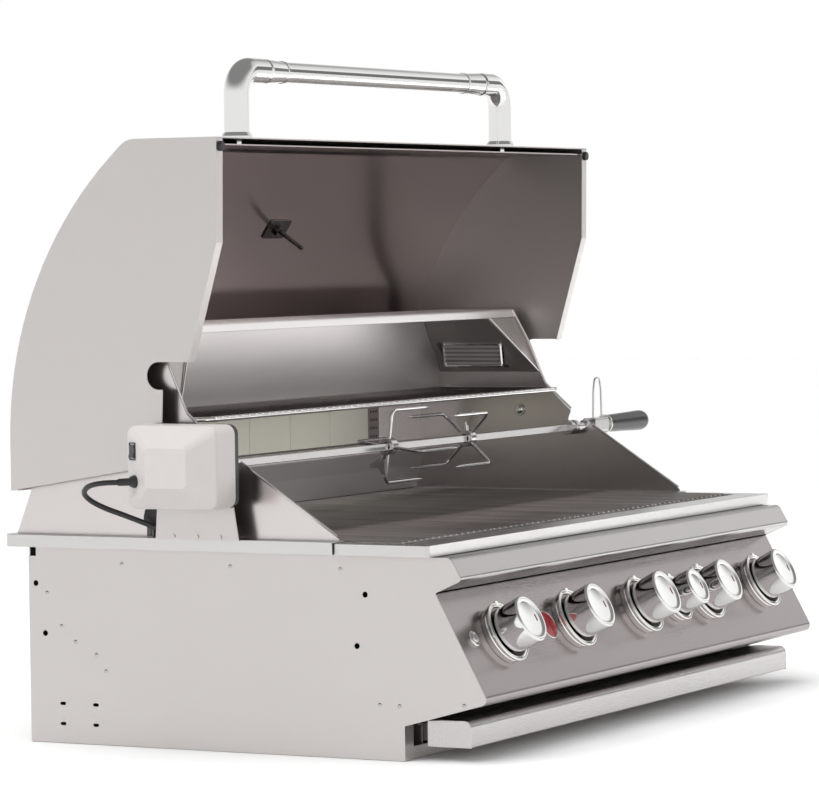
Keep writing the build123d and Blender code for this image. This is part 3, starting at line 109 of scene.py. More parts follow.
# Each half turn's points stand a little outside its circle, so that the curve between them lies
# on it.
spot = COIL_START
way = 1
for number, radius in enumerate(COIL_RADII):
    climb = COIL_CLIMB if number == len(COIL_RADII) // 2 else 0.0
    outside = radius / math.cos(math.pi / COIL_STEPS / 2)
    middle = spot + np.array([0, 0, way * radius])
    for step in range(COIL_STEPS):
        share = (step + 0.5) / COIL_STEPS
        angle = math.pi * share
        offset = [climb * share, -way * math.sin(angle) * outside, -way * math.cos(angle) * outside]
        route.append(middle + np.array(offset))
    spot = spot + np.array([climb, 0, way * radius * 2])
    way = -way
spot = spot + np.array([0, CORD_STRAIGHT, 0])
route.append(spot)
for lean in np.radians([0, 30, 60, 90]):
    spot = spot + np.array([0, math.cos(lean), -math.sin(lean)]) * PLUG_RUN
    route.append(spot)
cord_end = spot
cord_curve = bpy.data.curves.new("supply_cord", "CURVE")
cord_curve.dimensions = "3D"
spline = cord_curve.splines.new("NURBS")
spline.points.add(len(route) - 1)
for point, place in zip(spline.points, route):
    point.co = (*[float(value) * MM for value in place], 1)
spline.order_u = 3
spline.use_endpoint_u = True
cord_curve.resolution_u = 8
cord_curve.bevel_depth = CORD_RADIUS * MM
cord_curve.bevel_resolution = 3
cord_curve.use_fill_caps = True
supply_cord = put("supply_cord", cord_curve)


def add_node(tree, kind, inputs=(), **settings):
    """A shader node with its settings. An input takes a value, or the output that feeds it."""
    made = tree.nodes.new("ShaderNode" + kind)
    for name, value in settings.items():
        setattr(made, name, value)
    for socket, value in dict(inputs).items():
        if isinstance(value, bpy.types.NodeSocket):
            tree.links.new(value, made.inputs[socket])
        else:
            made.inputs[socket].default_value = value
    return made


def surface(name, metal=0.0, coat=0.0):
    """A new material, its node tree, and the output that gives each point's place on the piece."""
    material = bpy.data.materials.new(name)
    material.use_nodes = True
    tree = material.node_tree
    shader = tree.nodes["Principled BSDF"]
    shader.inputs["Metallic"].default_value = metal
    shader.inputs["Coat Weight"].default_value = coat
    return material, tree, add_node(tree, "TexCoord").outputs["Object"]


def shade(tree, amount, tones, rough, height=None, strength=0.0, distance=0.0):
    """The pattern called amount moves the colour between two tones and the roughness between two
    values; another, called height, raises the surface by strength times distance."""
    shader = tree.nodes["Principled BSDF"]
    dark, light = tones
    tone = add_node(tree, "Mix", data_type="RGBA")
    tone.inputs["A"].default_value = (*dark, 1)
    tone.inputs["B"].default_value = (*light, 1)
    tree.links.new(amount, tone.inputs["Factor"])
    gloss = add_node(tree, "MapRange", {"Value": amount, "To Min": rough[0], "To Max": rough[1]})
    tree.links.new(tone.outputs["Result"], shader.inputs["Base Color"])
    tree.links.new(gloss.outputs["Result"], shader.inputs["Roughness"])
    if height:
        raised = {"Height": height, "Strength": strength, "Distance": distance}
        bump = add_node(tree, "Bump", raised)
        tree.links.new(bump.outputs["Normal"], shader.inputs["Normal"])


def tones_of(color, spread):
    """A colour made darker and lighter by the same share."""
    return [c * (1 - spread) for c in color], [min(1, c * (1 + spread)) for c in color]


def moulded(name, color, rough, grain=1800.0, depth=0.12, mottle=0.06, coat=0.0):
    """Moulded rubber or plastic: a fine pebbled grain in the surface, and a broad soft noise that
    moves its colour and gloss a little, as handling and dust do."""
    material, tree, place = surface(name, coat=coat)
    pebbles = add_node(tree, "TexNoise", {"Vector": place, "Scale": grain})
    dust = add_node(tree, "TexNoise", {"Vector": place, "Scale": 45.0, "Detail": 4.0})
    shade(tree, dust.outputs["Fac"], tones_of(color, mottle), (rough * 0.85, min(1, rough * 1.15)),
          pebbles.outputs["Fac"], depth, 0.0003)
    return material


cord_rubber = moulded("cord_rubber", (0.012, 0.012, 0.013), 0.42)
cord_curve.materials.append(cord_rubber)
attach(supply_cord, "root")
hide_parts("motor_cord", "cord_coil")


# Studio: a pale floor that runs far past the grill, a sky that is white along the horizon and
# darker overhead, with a light card and a dark one on the right, a broad sun and three soft lamps.
FLOOR_REACH = 14.0
FLOOR_DROP = 0.0005
floor_corners = [(x * FLOOR_REACH, y * FLOOR_REACH, -FLOOR_DROP) for x, y in
                 [(-1, -1), (1, -1), (1, 1), (-1, 1)]]
floor_mesh = bpy.data.meshes.new("floor")
floor_mesh.from_pydata(floor_corners, [], [(0, 1, 2, 3)])
floor = put("floor", floor_mesh)
paper = moulded("studio_paper", (0.90, 0.90, 0.90), 0.9, grain=300.0, depth=0.02, mottle=0.004)
floor_mesh.materials.append(paper)

world = bpy.data.worlds.new("studio")
scene.world = world
world.use_nodes = True
sky = world.node_tree
sky_way = add_node(sky, "TexCoord").outputs["Generated"]


def fade(value, start, end, before, after):
    """Soft step: a value's way from start to end takes the tone from before to after."""
    reach = {"Value": value, "From Min": start, "From Max": end, "To Min": before, "To Max": after}
    return add_node(sky, "MapRange", reach, interpolation_type="SMOOTHSTEP").outputs["Result"]


def towards(way):
    """Cosine of the angle between each direction of the sky and one way."""
    product = add_node(sky, "VectorMath", {0: sky_way, 1: way}, operation="DOT_PRODUCT")
    return product.outputs["Value"]


OVERHEAD_EDGE = (0.10, 0.62)
OVERHEAD_TONE = 0.28
CARD_WAY = (0.85, -0.30, 0.43)
CARD_EDGE = (0.90, 0.985)
CARD_LIGHT = 0.42
FLAG_WAY = (0.876, -0.443, 0.191)
FLAG_EDGE = (0.984, 0.995)
FLAG_SHARE = 0.16
height = add_node(sky, "SeparateXYZ", {0: sky_way}).outputs["Z"]
overhead = fade(height, *OVERHEAD_EDGE, 1.0, OVERHEAD_TONE)
card = fade(towards(CARD_WAY), *CARD_EDGE, 0.0, CARD_LIGHT)
flag = fade(towards(FLAG_WAY), *FLAG_EDGE, 1.0, FLAG_SHARE)
lit = add_node(sky, "Math", {0: overhead, 1: card}, operation="ADD").outputs["Value"]
flagged = add_node(sky, "Math", {0: lit, 1: flag}, operation="MULTIPLY").outputs["Value"]
backdrop = sky.nodes["Background"]
backdrop.inputs["Strength"].default_value = 1.0
sky.links.new(flagged, backdrop.inputs["Color"])
SUN_WIDE = math.radians(60)
SUN_POWER = 2.5
SUN_WAY = (0.35, -0.1, -1)
LAMP_AIM = (0, 0, 0.35)
LAMPS = [
    ("top", (0.2, -0.3, 3.2), 3.0, 12.0),
    ("key", (-3.2, 0.9, 1.8), 1.6, 16.0),
    ("fill", (2.4, -1.7, 0.6), 1.4, 42.0),
]


def hang(data, power, way):
    """Hangs a lamp that shines one way, and that polished metal doesn't mirror."""
    data.energy = power
    lamp = put(data.name, data)
    lamp.rotation_euler = Vector(way).to_track_quat("-Z", "Y").to_euler()
    lamp.visible_glossy = False
    return lamp


sun_data = bpy.data.lights.new("sun", "SUN")
sun_data.angle = SUN_WIDE
hang(sun_data, SUN_POWER, SUN_WAY)
for lamp_name, place, size, power in LAMPS:
    lamp_data = bpy.data.lights.new(lamp_name, "AREA")
    lamp_data.size = size
    hang(lamp_data, power, Vector(LAMP_AIM) - Vector(place)).location = place
scene.view_settings.view_transform = "Standard"


# Casing: side panels, floor pan, rear panel, front trim and counter flange, folded from brushed
# stainless sheet. The sheets keep their CAD form, with their cut edges rolled.
STEEL = (0.62, 0.59, 0.575)
SHEET_EDGE = 0.4
MERGE_WITHIN = 0.00001
FLAT_WITHIN = math.radians(0.3)
record = frame["record"]
body_of = {node: body for body, nodes in record["behaviour"]["bodies"].items() for node in nodes}


def steel(name, color, rough, grain, depth=0.015, streak=0.03, clouds=5.0, share=0.5, metal=1.0):
    """Stainless steel: fine lines along one way, from noise squeezed across the grain, move the
    tone, gloss and surface a little, and a broad soft noise clouds the polish."""
    material, tree, place = surface(name, metal=metal)
    squeezed = add_node(tree, "Mapping", {"Vector": place, "Scale": grain}).outputs["Vector"]
    lines = add_node(tree, "TexNoise", {"Vector": squeezed, "Scale": 1.0, "Detail": 3.0})
    lines = lines.outputs["Fac"]
    haze = add_node(tree, "TexNoise", {"Vector": place, "Scale": clouds, "Detail": 2.0})
    both = add_node(tree, "Mix", {"Factor": share, "A": lines, "B": haze.outputs["Fac"]},
                    data_type="FLOAT")
    shade(tree, both.outputs["Result"], tones_of(color, streak), (rough * 0.8, rough * 1.2),
          lines, depth, 0.0002)
    return material


def finish(piece, material, node, shown=True, slot=None, edge=0.0, steps=2, sharp=35):
    """Gives a mesh piece its material, shading and rolled edges; it rides with its node's body."""
    piece.data.materials.clear()
    piece.data.materials.append(material)
    piece.data.shade_smooth()
    piece.data.set_sharp_from_angle(angle=math.radians(sharp))
    if edge:
        roll = piece.modifiers.new("rolled_edge", "BEVEL")
        roll.width = edge * MM
        roll.segments = steps
        roll.limit_method = "ANGLE"
        roll.angle_limit = math.radians(sharp)
        roll.use_clamp_overlap = True
    piece.modifiers.new("level_faces", "WEIGHTED_NORMAL").keep_sharp = True
    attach(piece, body_of[node])
    if shown:
        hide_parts(node)
    return piece


def from_node(node, material, edge=SHEET_EDGE, steps=2):
    """A copy of a CAD node with its triangles merged into flat faces and its edges rolled."""
    work = bmesh.new()
    work.from_mesh(frame["nodes"][node].data)
    bmesh.ops.remove_doubles(work, verts=work.verts, dist=MERGE_WITHIN)
    bmesh.ops.dissolve_limit(work, angle_limit=FLAT_WITHIN, verts=work.verts, edges=work.edges)
    mesh = bpy.data.meshes.new(node + "_dressed")
    work.to_mesh(mesh)
    work.free()
    finish(put(node + "_dressed", mesh), material, node, edge=edge, steps=steps)


side_steel = steel("side_steel", STEEL, 0.42, (10, 14, 900))
for node in ["side_panel_left", "side_panel_right", "floor_pan", "rear_panel"]:
    from_node(node, side_steel)
rim_steel = steel("rim_steel", (0.62, 0.61, 0.60), 0.30, (12, 900, 900))
for node in ["front_trim", "counter_flange"]:
    from_node(node, rim_steel)


# Screws of the casing: small domed stainless heads that hold the inner frame to the side panels, in
# the same places left and right.
def unit(vector):
    """The same way with length one, for one vector or for each row of many."""
    vector = np.asarray(vector, float)
    return vector / np.linalg.norm(vector, axis=-1, keepdims=True)


def rounded(corners, radii, steps=5, closed=False):
    """Straight runs joined by arcs: each arc leaves both runs at the same distance from their
    corner and turns about its centre, as (a sin((1 - t) w) + b sin(t w)) / sin(w) from a to b."""
    corners = np.asarray(corners, float)
    before = corners - np.roll(corners, 1, 0)
    after = np.roll(before, -1, 0)
    if not closed:
        before = before[1:-1]
        after = after[1:-1]
    middle = corners if closed else corners[1:-1]
    radii = np.broadcast_to(np.asarray(radii, float), len(middle))[:, None]
    before_long = np.maximum(np.linalg.norm(before, axis=1, keepdims=True), 1e-9)
    after_long = np.maximum(np.linalg.norm(after, axis=1, keepdims=True), 1e-9)
    before = before / before_long
    after = after / after_long
    bend = np.arccos(np.clip((before * after).sum(1, keepdims=True), -1, 1))
    bend = np.maximum(bend, 1e-4)
    half_tan = np.tan(bend / 2)
    reach = np.minimum(radii * half_tan, 0.49 * np.minimum(before_long, after_long))
    inward = after - before * np.cos(bend)
    inward = inward / np.maximum(np.linalg.norm(inward, axis=1, keepdims=True), 1e-9)
    centre = middle - before * reach + inward * reach / half_tan
    start = (middle - before * reach - centre)[:, None]
    end = (middle + after * reach - centre)[:, None]
    t = np.linspace(0, 1, steps + 1)[None, :, None]
    bend = bend[:, None]
    arcs = (start * np.sin((1 - t) * bend) + end * np.sin(t * bend)) / np.sin(bend)
    points = (centre[:, None] + arcs).reshape(-1, corners.shape[1])
    return points if closed else np.vstack([corners[:1], points, corners[-1:]])


def grid(points, along=False, around=False):
    """Quads over a grid of points; along joins its last row to the first, around its columns."""
    rows, columns = points.shape[:2]
    row = np.arange(rows if along else rows - 1)[:, None]
    column = np.arange(columns if around else columns - 1)[None, :]
    next_row = (row + 1) % rows
    next_column = (column + 1) % columns
    quads = np.stack([
        row * columns + column,
        row * columns + next_column,
        next_row * columns + next_column,
        next_row * columns + column,
    ], -1)
    return points.reshape(-1, 3), quads.reshape(-1, 4).tolist()


def turned(profile, origin, axis, steps=40, ring=False):
    """A profile of (radius, height) turned about an axis: each point goes round at its radius."""
    axis = unit(axis)
    side = unit(np.cross(axis, (0, 0, 1) if abs(axis[2]) < 0.9 else (1, 0, 0)))
    other = np.cross(axis, side)
    profile = np.asarray(profile, float)
    angle = np.linspace(0, math.tau, steps, endpoint=False)[:, None, None]
    out = side * np.cos(angle) + other * np.sin(angle)
    points = np.asarray(origin, float) + profile[None, :, :1] * out + profile[None, :, 1:] * axis
    return grid(points, along=True, around=ring)


def drawn(outline, origin, right, up, way):
    """An outline in the plane of right and up, drawn along a vector and closed at both ends."""
    outline = np.asarray(outline, float)
    base = np.asarray(origin, float) + outline[:, :1] * np.asarray(right, float)
    base = base + outline[:, 1:] * np.asarray(up, float)
    count = len(outline)
    here = np.arange(count)
    there = (here + 1) % count
    sides = np.stack([here, there, there + count, here + count], 1).tolist()
    points = np.vstack([base, base + np.asarray(way, float)])
    return points, sides + [here[::-1].tolist(), (here + count).tolist()]


def make(name, shapes, material, node, **looks):
    """One mesh piece from shapes in millimetres: joined, merged, and turned to face outwards."""
    points = []
    faces = []
    count = 0
    for shape_points, shape_faces in shapes:
        points.append(shape_points)
        faces.extend([[index + count for index in face] for face in shape_faces])
        count += len(shape_points)
    mesh = bpy.data.meshes.new(name)
    mesh.from_pydata((np.vstack(points) * MM).tolist(), [], faces)
    work = bmesh.new()
    work.from_mesh(mesh)
    bmesh.ops.remove_doubles(work, verts=work.verts, dist=0.000001)
    bmesh.ops.dissolve_degenerate(work, edges=work.edges, dist=0.0000005)
    bmesh.ops.recalc_face_normals(work, faces=work.faces)
    work.to_mesh(mesh)
    work.free()
    return finish(put(name, mesh), material, node, **looks)


def screw(radius, high):
    """Profile of a domed screw head with a shallow socket in its middle."""
    return rounded(
        [(0, high * 0.55), (radius * 0.4, high * 0.55), (radius * 0.45, high),
         (radius, high * 0.45), (radius, 0), (0, 0)],
        [0.05, 0.1, high * 0.5, 0.05], 3,
    )


def polished(name, color, rough):
    """Plated or polished metal: a clear reflection, with faint smudges that dull it in places."""
    material, tree, place = surface(name, metal=1.0)
    smear = add_node(tree, "TexNoise", {"Vector": place, "Scale": 30.0, "Detail": 5.0})
    shade(tree, smear.outputs["Fac"], ([c * 0.95 for c in color], color),
          (rough * 0.65, rough * 1.35))
    return material


CASING_HALF = 482.5
SCREW_RADIUS = 2.6
SCREW_HIGH = 1.3
SIDE_SCREWS = [
    (-336.7, 67.9),
    (232.7, 182.2), (212.6, 142.2), (192.8, 123.7), (163.3, 108.7), (149.8, 89.5), (125.1, 219.6),
    (-26.4, 221.0), (-175.7, 221.6), (-226.1, 64.4), (-252.2, 64.0),
]
fastener = polished("fastener", (0.55, 0.54, 0.53), 0.22)
for name, side in [("left", -1), ("right", 1)]:
    heads = [
        turned(screw(SCREW_RADIUS, SCREW_HIGH), (side * CASING_HALF, y, z), (side, 0, 0), 16)
        for y, z in SIDE_SCREWS
    ]
    make(f"side_screws_{name}", heads, fastener, f"side_panel_{name}", shown=False)


# Control housing: the slanted panel that carries the valves, and the rounded bull nose folded over
# it. Both are stainless sheet, brushed along the front.
panel_steel = steel("panel_steel", (0.37, 0.335, 0.335), 0.26, (7, 1100, 1100))
from_node("control_panel", panel_steel, edge=0.8)
nose_steel = steel("nose_steel", (0.46, 0.445, 0.44), 0.24, (7, 1100, 1100), depth=0.006)
from_node("bull_nose", nose_steel)


# Knobs: turned and chromed grips with a dished face, a bright rim and a dark index slot. Each rides
# on its own stem.
PANEL_FOOT = np.array([0.0, -368.55, 70.9])
PANEL_UP = np.array([0.0, 0.47471, 0.88014])
PANEL_OUT = np.array([0.0, -0.88014, 0.47471])
RIGHT = np.array([1.0, 0.0, 0.0])
CONTROL_LINE = 77.5
# Each knob's place as a share of the half width, its size and its reach.
KNOBS = [
    (-0.7896, 1, 1), (-0.402, 1, 1), (0.0, 1, 1), (0.2052, 0.83, 0.96), (0.398, 1, 1),
    (0.7772, 1, 1),
]
KNOB_RADIUS = 29.3
KNOB_BACK_RADIUS = 28.4
KNOB_LIFT = 3.0
KNOB_REACH = 48.5
STEM_RADIUS = 4.0
STEM_DEEP = 6.0
INDEX_LONG = 9.0
INDEX_WIDE = 2.6
INDEX_HIGH = 1.2
INDEX_DEEP = 3.4
INDEX_SHARE = 0.52


def on_panel(share, line):
    """Place on the slanted panel: a share of the half width along it, and a distance up it."""
    return PANEL_FOOT + RIGHT * share * CASING_HALF + PANEL_UP * line


def rectangle(wide, high, corner, steps):
    """A rectangle about its middle, with its corners rounded."""
    x = wide / 2
    y = high / 2
    return rounded([(-x, -y), (x, -y), (x, y), (-x, y)], corner, steps, closed=True)


chrome = polished("chrome", (0.80, 0.795, 0.79), 0.07)
index_paint = moulded("index_paint", (0.16, 0.03, 0.03), 0.5)
index_line = rectangle(INDEX_WIDE, INDEX_LONG, INDEX_WIDE * 0.49, 6)
for number, (share, size, reach) in enumerate(KNOBS, 1):
    wide = KNOB_RADIUS * size
    low = KNOB_BACK_RADIUS * size
    face = KNOB_REACH * reach
    seat = on_panel(share, CONTROL_LINE)
    grip = rounded(
        [(0, KNOB_LIFT), (low, KNOB_LIFT), (wide, face - 1.8), (wide - 1.8, face),
         (wide - 4.4, face), (wide - 7.0, face - 2.2), (0, face - 3.2)],
        [0.8, 2.0, 1.6, 1.4, 6.0],
    )
    stem_end = KNOB_LIFT + 1
    stem = [(0, -STEM_DEEP), (STEM_RADIUS, -STEM_DEEP), (STEM_RADIUS, stem_end), (0, stem_end)]
    make(f"knob_grip_{number}",
         [turned(grip, seat, PANEL_OUT, 72), turned(stem, seat, PANEL_OUT, 24)],
         chrome, f"knob_{number}")
    index_seat = seat + RIGHT * wide * INDEX_SHARE + PANEL_OUT * (face - INDEX_DEEP)
    make(f"knob_index_{number}",
         [drawn(index_line, index_seat, RIGHT, PANEL_UP, PANEL_OUT * INDEX_HIGH)],
         index_paint, f"knob_{number}", shown=False, slot="black_plastic", edge=0.3)


# Bezels: pressed and chromed rings with a double lip around the knobs, each with a small clip at
# its top, and the plain ring of the light button. They are fixed on the slanted panel.
BEZEL_RADIUS = 38.0
BEZEL_WAIST = 34.6
CLIP_WIDE = 7.0
CLIP_LONG = 4.4
CLIP_INSET = 2.4
CLIP_SEAT = 12.6
CLIP_HIGH = 3.2
BUTTON_SHARE = -0.9244
BUTTON_LINE = 80.0
button_seat = on_panel(BUTTON_SHARE, BUTTON_LINE)
clip = rectangle(CLIP_WIDE, CLIP_LONG, 0.8, 3)
rings = []
for share, size, reach in KNOBS:
    wide = BEZEL_RADIUS * size
    waist = BEZEL_WAIST * size
    section = rounded(
        [(waist - 1.6, 0), (waist + 0.4, 0), (waist + 1.6, 7.0), (waist + 1.0, 8.4),
         (wide, 10.6), (wide, 13.2), (wide - 1.3, 14.0), (wide - 2.6, 13.0), (wide - 4.6, 13.6),
         (waist - 2.4, 12.4), (waist - 1.6, 7.0)],
        [0.2, 0.8, 0.6, 0.4, 0.8, 0.9, 0.8, 0.5, 0.7, 0.9, 1.0], 3, closed=True,
    )
    rings.append(turned(section, on_panel(share, CONTROL_LINE), PANEL_OUT, 72, ring=True))
    clip_seat = on_panel(share, CONTROL_LINE + (BEZEL_RADIUS - CLIP_INSET) * size)
    clip_seat = clip_seat + PANEL_OUT * CLIP_SEAT
    rings.append(drawn(clip, clip_seat, RIGHT, PANEL_UP, PANEL_OUT * CLIP_HIGH))
button_ring = rounded([(7.3, 0), (10.0, 0), (9.8, 2.4), (8.8, 3.0), (7.3, 2.6)],
                      [0.1, 0.5, 0.6, 0.4, 0.1], 3, closed=True)
rings.append(turned(button_ring, button_seat, PANEL_OUT, 40, ring=True))
bezel_chrome = polished("bezel_chrome", (0.84, 0.83, 0.80), 0.10)
make("bezel_rings", rings, bezel_chrome, "knob_bezels")


# Push button of the lights: a turned disc of satin metal that sits in its ring and moves in and out
# on a spring.
button_metal = steel("button_metal", (0.80, 0.79, 0.78), 0.25, (60, 60, 60))
button_line = rounded([(0, -16), (6.95, -16), (6.95, 1.6), (5.5, 1.6), (5.3, 4.4), (0, 4.9)],
                      [0.3, 0.4, 0.2, 0.8], 3)
make("light_push_button", [turned(button_line, button_seat, PANEL_OUT, 40)], button_metal,
     "light_button")


# Badge: a plain red enamel disc in a polished rim, glued to the panel between the first two knobs,
# with nothing printed on it.
BADGE_SHARE = -0.5233
BADGE_LINE = 79.0
BADGE_RADIUS = 18.5
enamel = moulded("red_enamel", (0.30, 0.004, 0.012), 0.25, grain=400.0, depth=0.02, coat=0.6)
badge_seat = on_panel(BADGE_SHARE, BADGE_LINE)
disc_line = rounded([(0, 0), (17.2, 0), (17.2, 1.6), (0, 1.9)], [0.1, 0.3], 3)
make("badge_plate", [turned(disc_line, badge_seat, PANEL_OUT, 56)], enamel, "badge_disc")
rim_line = rounded([(16.6, 0), (BADGE_RADIUS, 0), (BADGE_RADIUS, 2.0), (17.8, 2.4), (16.6, 2.0)],
                   [0.1, 0.1, 0.4, 0.4, 0.2], 3, closed=True)
make("badge_rim", [turned(rim_line, badge_seat, PANEL_OUT, 56, ring=True)], chrome, "badge_disc",
     shown=False, slot="chrome")


# Drip tray: a rounded front bar of brushed sheet with deep folded ends, before a folded pan that
# hangs on two rails and slides out to the front.
BAR_END = 463.4
RETURN_LONG = 60.0
CAP_THICK = 1.2


def along_x(outline, x, long, y=0.0, z=0.0):
    """An outline in Y and Z, drawn straight along X from a place."""
    return drawn(outline, (x, y, z), (0, 1, 0), (0, 0, 1), (long, 0, 0))


bar_steel = steel("bar_steel", (0.56, 0.545, 0.535), 0.28, (7, 1100, 1100))
from_node("drip_tray_front", bar_steel, edge=0.6)
returned = rounded([(-297.0, 16.8), (-279.2, 16.8), (-279.2, 46.4), (-297.0, 47.8)], 0.6, 3,
                   closed=True)
end_cap = rounded([(-336.3, 16.3), (-279.0, 16.3), (-279.0, 46.6), (-336.3, 48.3)],
                  [0.8, 0.8, 0.8, 9.2], 6, closed=True)
bar_ends = [
    along_x(shape, side * BAR_END, -side * long)
    for side in [-1, 1]
    for shape, long in [(returned, RETURN_LONG), (end_cap, -CAP_THICK)]
]
make("bar_ends", bar_ends, bar_steel, "drip_tray_front", shown=False, edge=0.3)
for node in ["drip_tray_pan", "tray_rails"]:
    from_node(node, side_steel, edge=0.2)


# Firebox with its burners and flame tamers: folded steel, browned by heat. Under it the manifold, a
# bare pipe, carries a brass valve behind each knob.
baked_steel = steel("baked_steel", (0.25, 0.225, 0.22), 0.30, (20, 500, 500), clouds=9.0,
                    streak=0.12)
for node in ["firebox", "flame_tamers", "main_burners"]:
    from_node(node, baked_steel, edge=0.3)
gas_aluminium = steel("gas_aluminium", (0.62, 0.62, 0.63), 0.45, (40, 300, 300))
valve_brass = steel("valve_brass", (0.62, 0.45, 0.20), 0.32, (80, 80, 80))
for node in ["gas_manifold", "supply_pipe"]:
    from_node(node, gas_aluminium, edge=0.2)
from_node("gas_valves", valve_brass, edge=0.2)


# Cooking grates: four panels of thick stainless bars welded on cross bars, dulled by cooking. The
# bars' front ends slope back behind a strip that closes the panel.
GRATE_FRONT = -253.9
GRATE_BACK = 234.4
GRATE_SEAT = 240.0
GRATE_STEP = 233.5
GRATE_WIDTH = 232.5
GRATE_PANELS = 4
BARS = 16
BAR_WIDE = 8.4
BAR_SLOPE_FROM = 8.0
CROSS_WIDE = 9.0
CROSS_SHARES = [0.012, 0.35, 0.65, 0.988]
STRIP_OUT = 0.4
grate_steel = steel("grate_steel", (0.42, 0.40, 0.385), 0.34, (48, 2.5, 48), streak=0.8, share=0.25)
bar_section = rounded([(-4.2, 5.5), (4.2, 5.5), (2.1, 13.5), (-2.1, 13.5)], [0.4, 0.4, 1.3, 1.3], 3,
                      closed=True)
cross_section = rounded([(-4.5, 0), (4.5, 0), (4.5, 5.6), (-4.5, 5.6)], 0.4, 2, closed=True)
strip_section = [(0, 0), (3.0, 0), (3.0, 11.0), (0, 12.6)]
grate_long = GRATE_BACK - GRATE_FRONT
bars = []
for panel in range(GRATE_PANELS):
    left = (panel - (GRATE_PANELS - 1) / 2) * GRATE_STEP - GRATE_WIDTH / 2
    for number in range(BARS):
        x = left + BAR_WIDE / 2 + number * (GRATE_WIDTH - BAR_WIDE) / (BARS - 1)
        points, faces = drawn(bar_section, (x, GRATE_FRONT, GRATE_SEAT), (1, 0, 0), (0, 0, 1),
                              (0, grate_long, 0))
        front_end = points[: len(bar_section)]
        front_end[:, 1] += np.maximum(front_end[:, 2] - GRATE_SEAT - BAR_SLOPE_FROM, 0)
        bars.append((points, faces))
    for share in CROSS_SHARES:
        y = GRATE_FRONT + CROSS_WIDE / 2 + share * (grate_long - CROSS_WIDE)
        bars.append(along_x(cross_section, left, GRATE_WIDTH, y, GRATE_SEAT))
    bars.append(along_x(strip_section, left, GRATE_WIDTH, GRATE_FRONT - STRIP_OUT, GRATE_SEAT))
make("grate_bars", bars, grate_steel, "cooking_grates")


# Walls above the counter: side walls, back cover, inner back walls and lamp housings of polished
# sheet, folded and spot welded. Inside they mirror the dark studio, browned by heat. The inner
# back walls and the back cover take a lighter, less metallic copy of the steel: painted light that
# stands in for the light that reaches inside.
wall_steel = steel("wall_steel", (0.64, 0.60, 0.59), 0.22, (12, 500, 500))
# Painted light: the inner back walls and the cover get a lighter copy of the steel.
back_steel_painted_lighter = steel("back_steel_painted_lighter", (0.86, 0.82, 0.81), 0.36, (12, 500, 500), metal=0.75)
cover_steel_painted_lighter = steel("cover_steel_painted_lighter", (0.80, 0.77, 0.76), 0.36, (8, 900, 900), metal=0.8)
lamp_steel = steel("lamp_steel", (0.52, 0.48, 0.465), 0.34, (12, 500, 500), metal=0.75)
for node, material in [
    ("wing_left", wall_steel), ("wing_right", wall_steel),
    ("back_wall_upper", back_steel_painted_lighter), ("back_wall_lower", back_steel_painted_lighter),
]:
    from_node(node, material, edge=0.3)
from_node("back_cover", cover_steel_painted_lighter)
from_node("lamp_housings", lamp_steel, edge=0.3)


# Lamp lenses: ribbed and frosted glass in a bright box frame that stands upright out of each
# slanted face, with a screw in each corner.
LENS_LONG = 93.0
LENS_WIDE = 35.0
LENS_BOX = 28.0
LENS_DEEP = 6.0
LENS_LEAN = 0.15
LENS_X = 439.2355
LENS_Y = 122.5
LENS_Z = 442.78
FRAME_WIDE = 3.6
LENS_SCREWS = [(-43.5, -14.5), (-43.5, 14.5), (43.5, -14.5), (43.5, 14.5)]


def framed(outlines, heights, seat, right, up, way):
    """A closed rim through outlines in the plane of right and up, each at its own height."""
    rows = np.stack(outlines)
    heights = np.array(heights)[:, None, None]
    places = seat + rows[..., :1] * right + rows[..., 1:] * up + heights * way
    return grid(places, along=True, around=True)


glass, tree, place = surface("lamp_glass", coat=0.5)
ribs = add_node(tree, "TexWave", {"Vector": place, "Scale": 55.0}, wave_type="BANDS",
                bands_direction="Z").outputs["Fac"]
# The ribs' grooves are painted darker and their crests lighter: painted shade and light along the
# ribs, which the bump also raises.
shade(tree, ribs, ((0.16, 0.14, 0.14), (0.42, 0.40, 0.40)), (0.08, 0.22), ribs, 0.6, 0.001)
pane = rectangle(LENS_LONG, LENS_WIDE, 4.0, 4)
opening = pane * (1 - FRAME_WIDE * 2 / np.array([LENS_LONG, LENS_WIDE]))
lens_sheets = []
lens_frames = []
back_way = np.array([0, 1.0, 0])
for side in [-1, 1]:
    lens_middle = np.array([side * LENS_X, LENS_Y, LENS_Z])
    up_slope = unit((-side * LENS_LEAN, 0, 0.99))
    out_slope = np.array([-side * up_slope[2], 0, side * up_slope[0]])
    lens_sheets.append(drawn(pane, lens_middle - out_slope * LENS_DEEP, back_way, up_slope,
                             out_slope * (LENS_DEEP - 0.4)))
    lens_frames.append(framed([pane, pane, (pane + opening) / 2, opening, opening],
                              [-LENS_BOX, 0.6, 1.8, 0.6, -1.2],
                              lens_middle, back_way, up_slope, out_slope))
    for along, up in LENS_SCREWS:
        seat = lens_middle + back_way * along + up_slope * up + out_slope
        lens_frames.append(turned(screw(2.2, 2.0), seat, out_slope, 16))
make("lamp_panes", lens_sheets, glass, "lamp_lenses", edge=0.6)
make("lamp_frames", lens_frames, chrome, "lamp_lenses", shown=False, slot="chrome", edge=0.2)


# Rear burner: a pressed steel tray with cream ceramic tiles, drilled with rows of fine holes. It
# hangs behind an opening in the inner back wall.
HOLES_PER_M = 420.0
ceramic, tree, place = surface("burner_ceramic")
cells = add_node(tree, "TexVoronoi", {"Vector": place, "Scale": HOLES_PER_M, "Randomness": 0.0})
holes = add_node(tree, "MapRange", {
    "Value": cells.outputs["Distance"], "From Min": 0.22, "From Max": 0.32,
}).outputs["Result"]
# The holes are painted a little darker than the tile: painted shade in the holes, which the bump
# also sinks.
shade(tree, holes, ((0.84, 0.82, 0.68), (0.97, 0.95, 0.82)), (0.95, 0.8), holes, 0.5, 0.001)
from_node("rear_burner_tile", ceramic)
from_node("rear_burner_housing", baked_steel, edge=0.2)
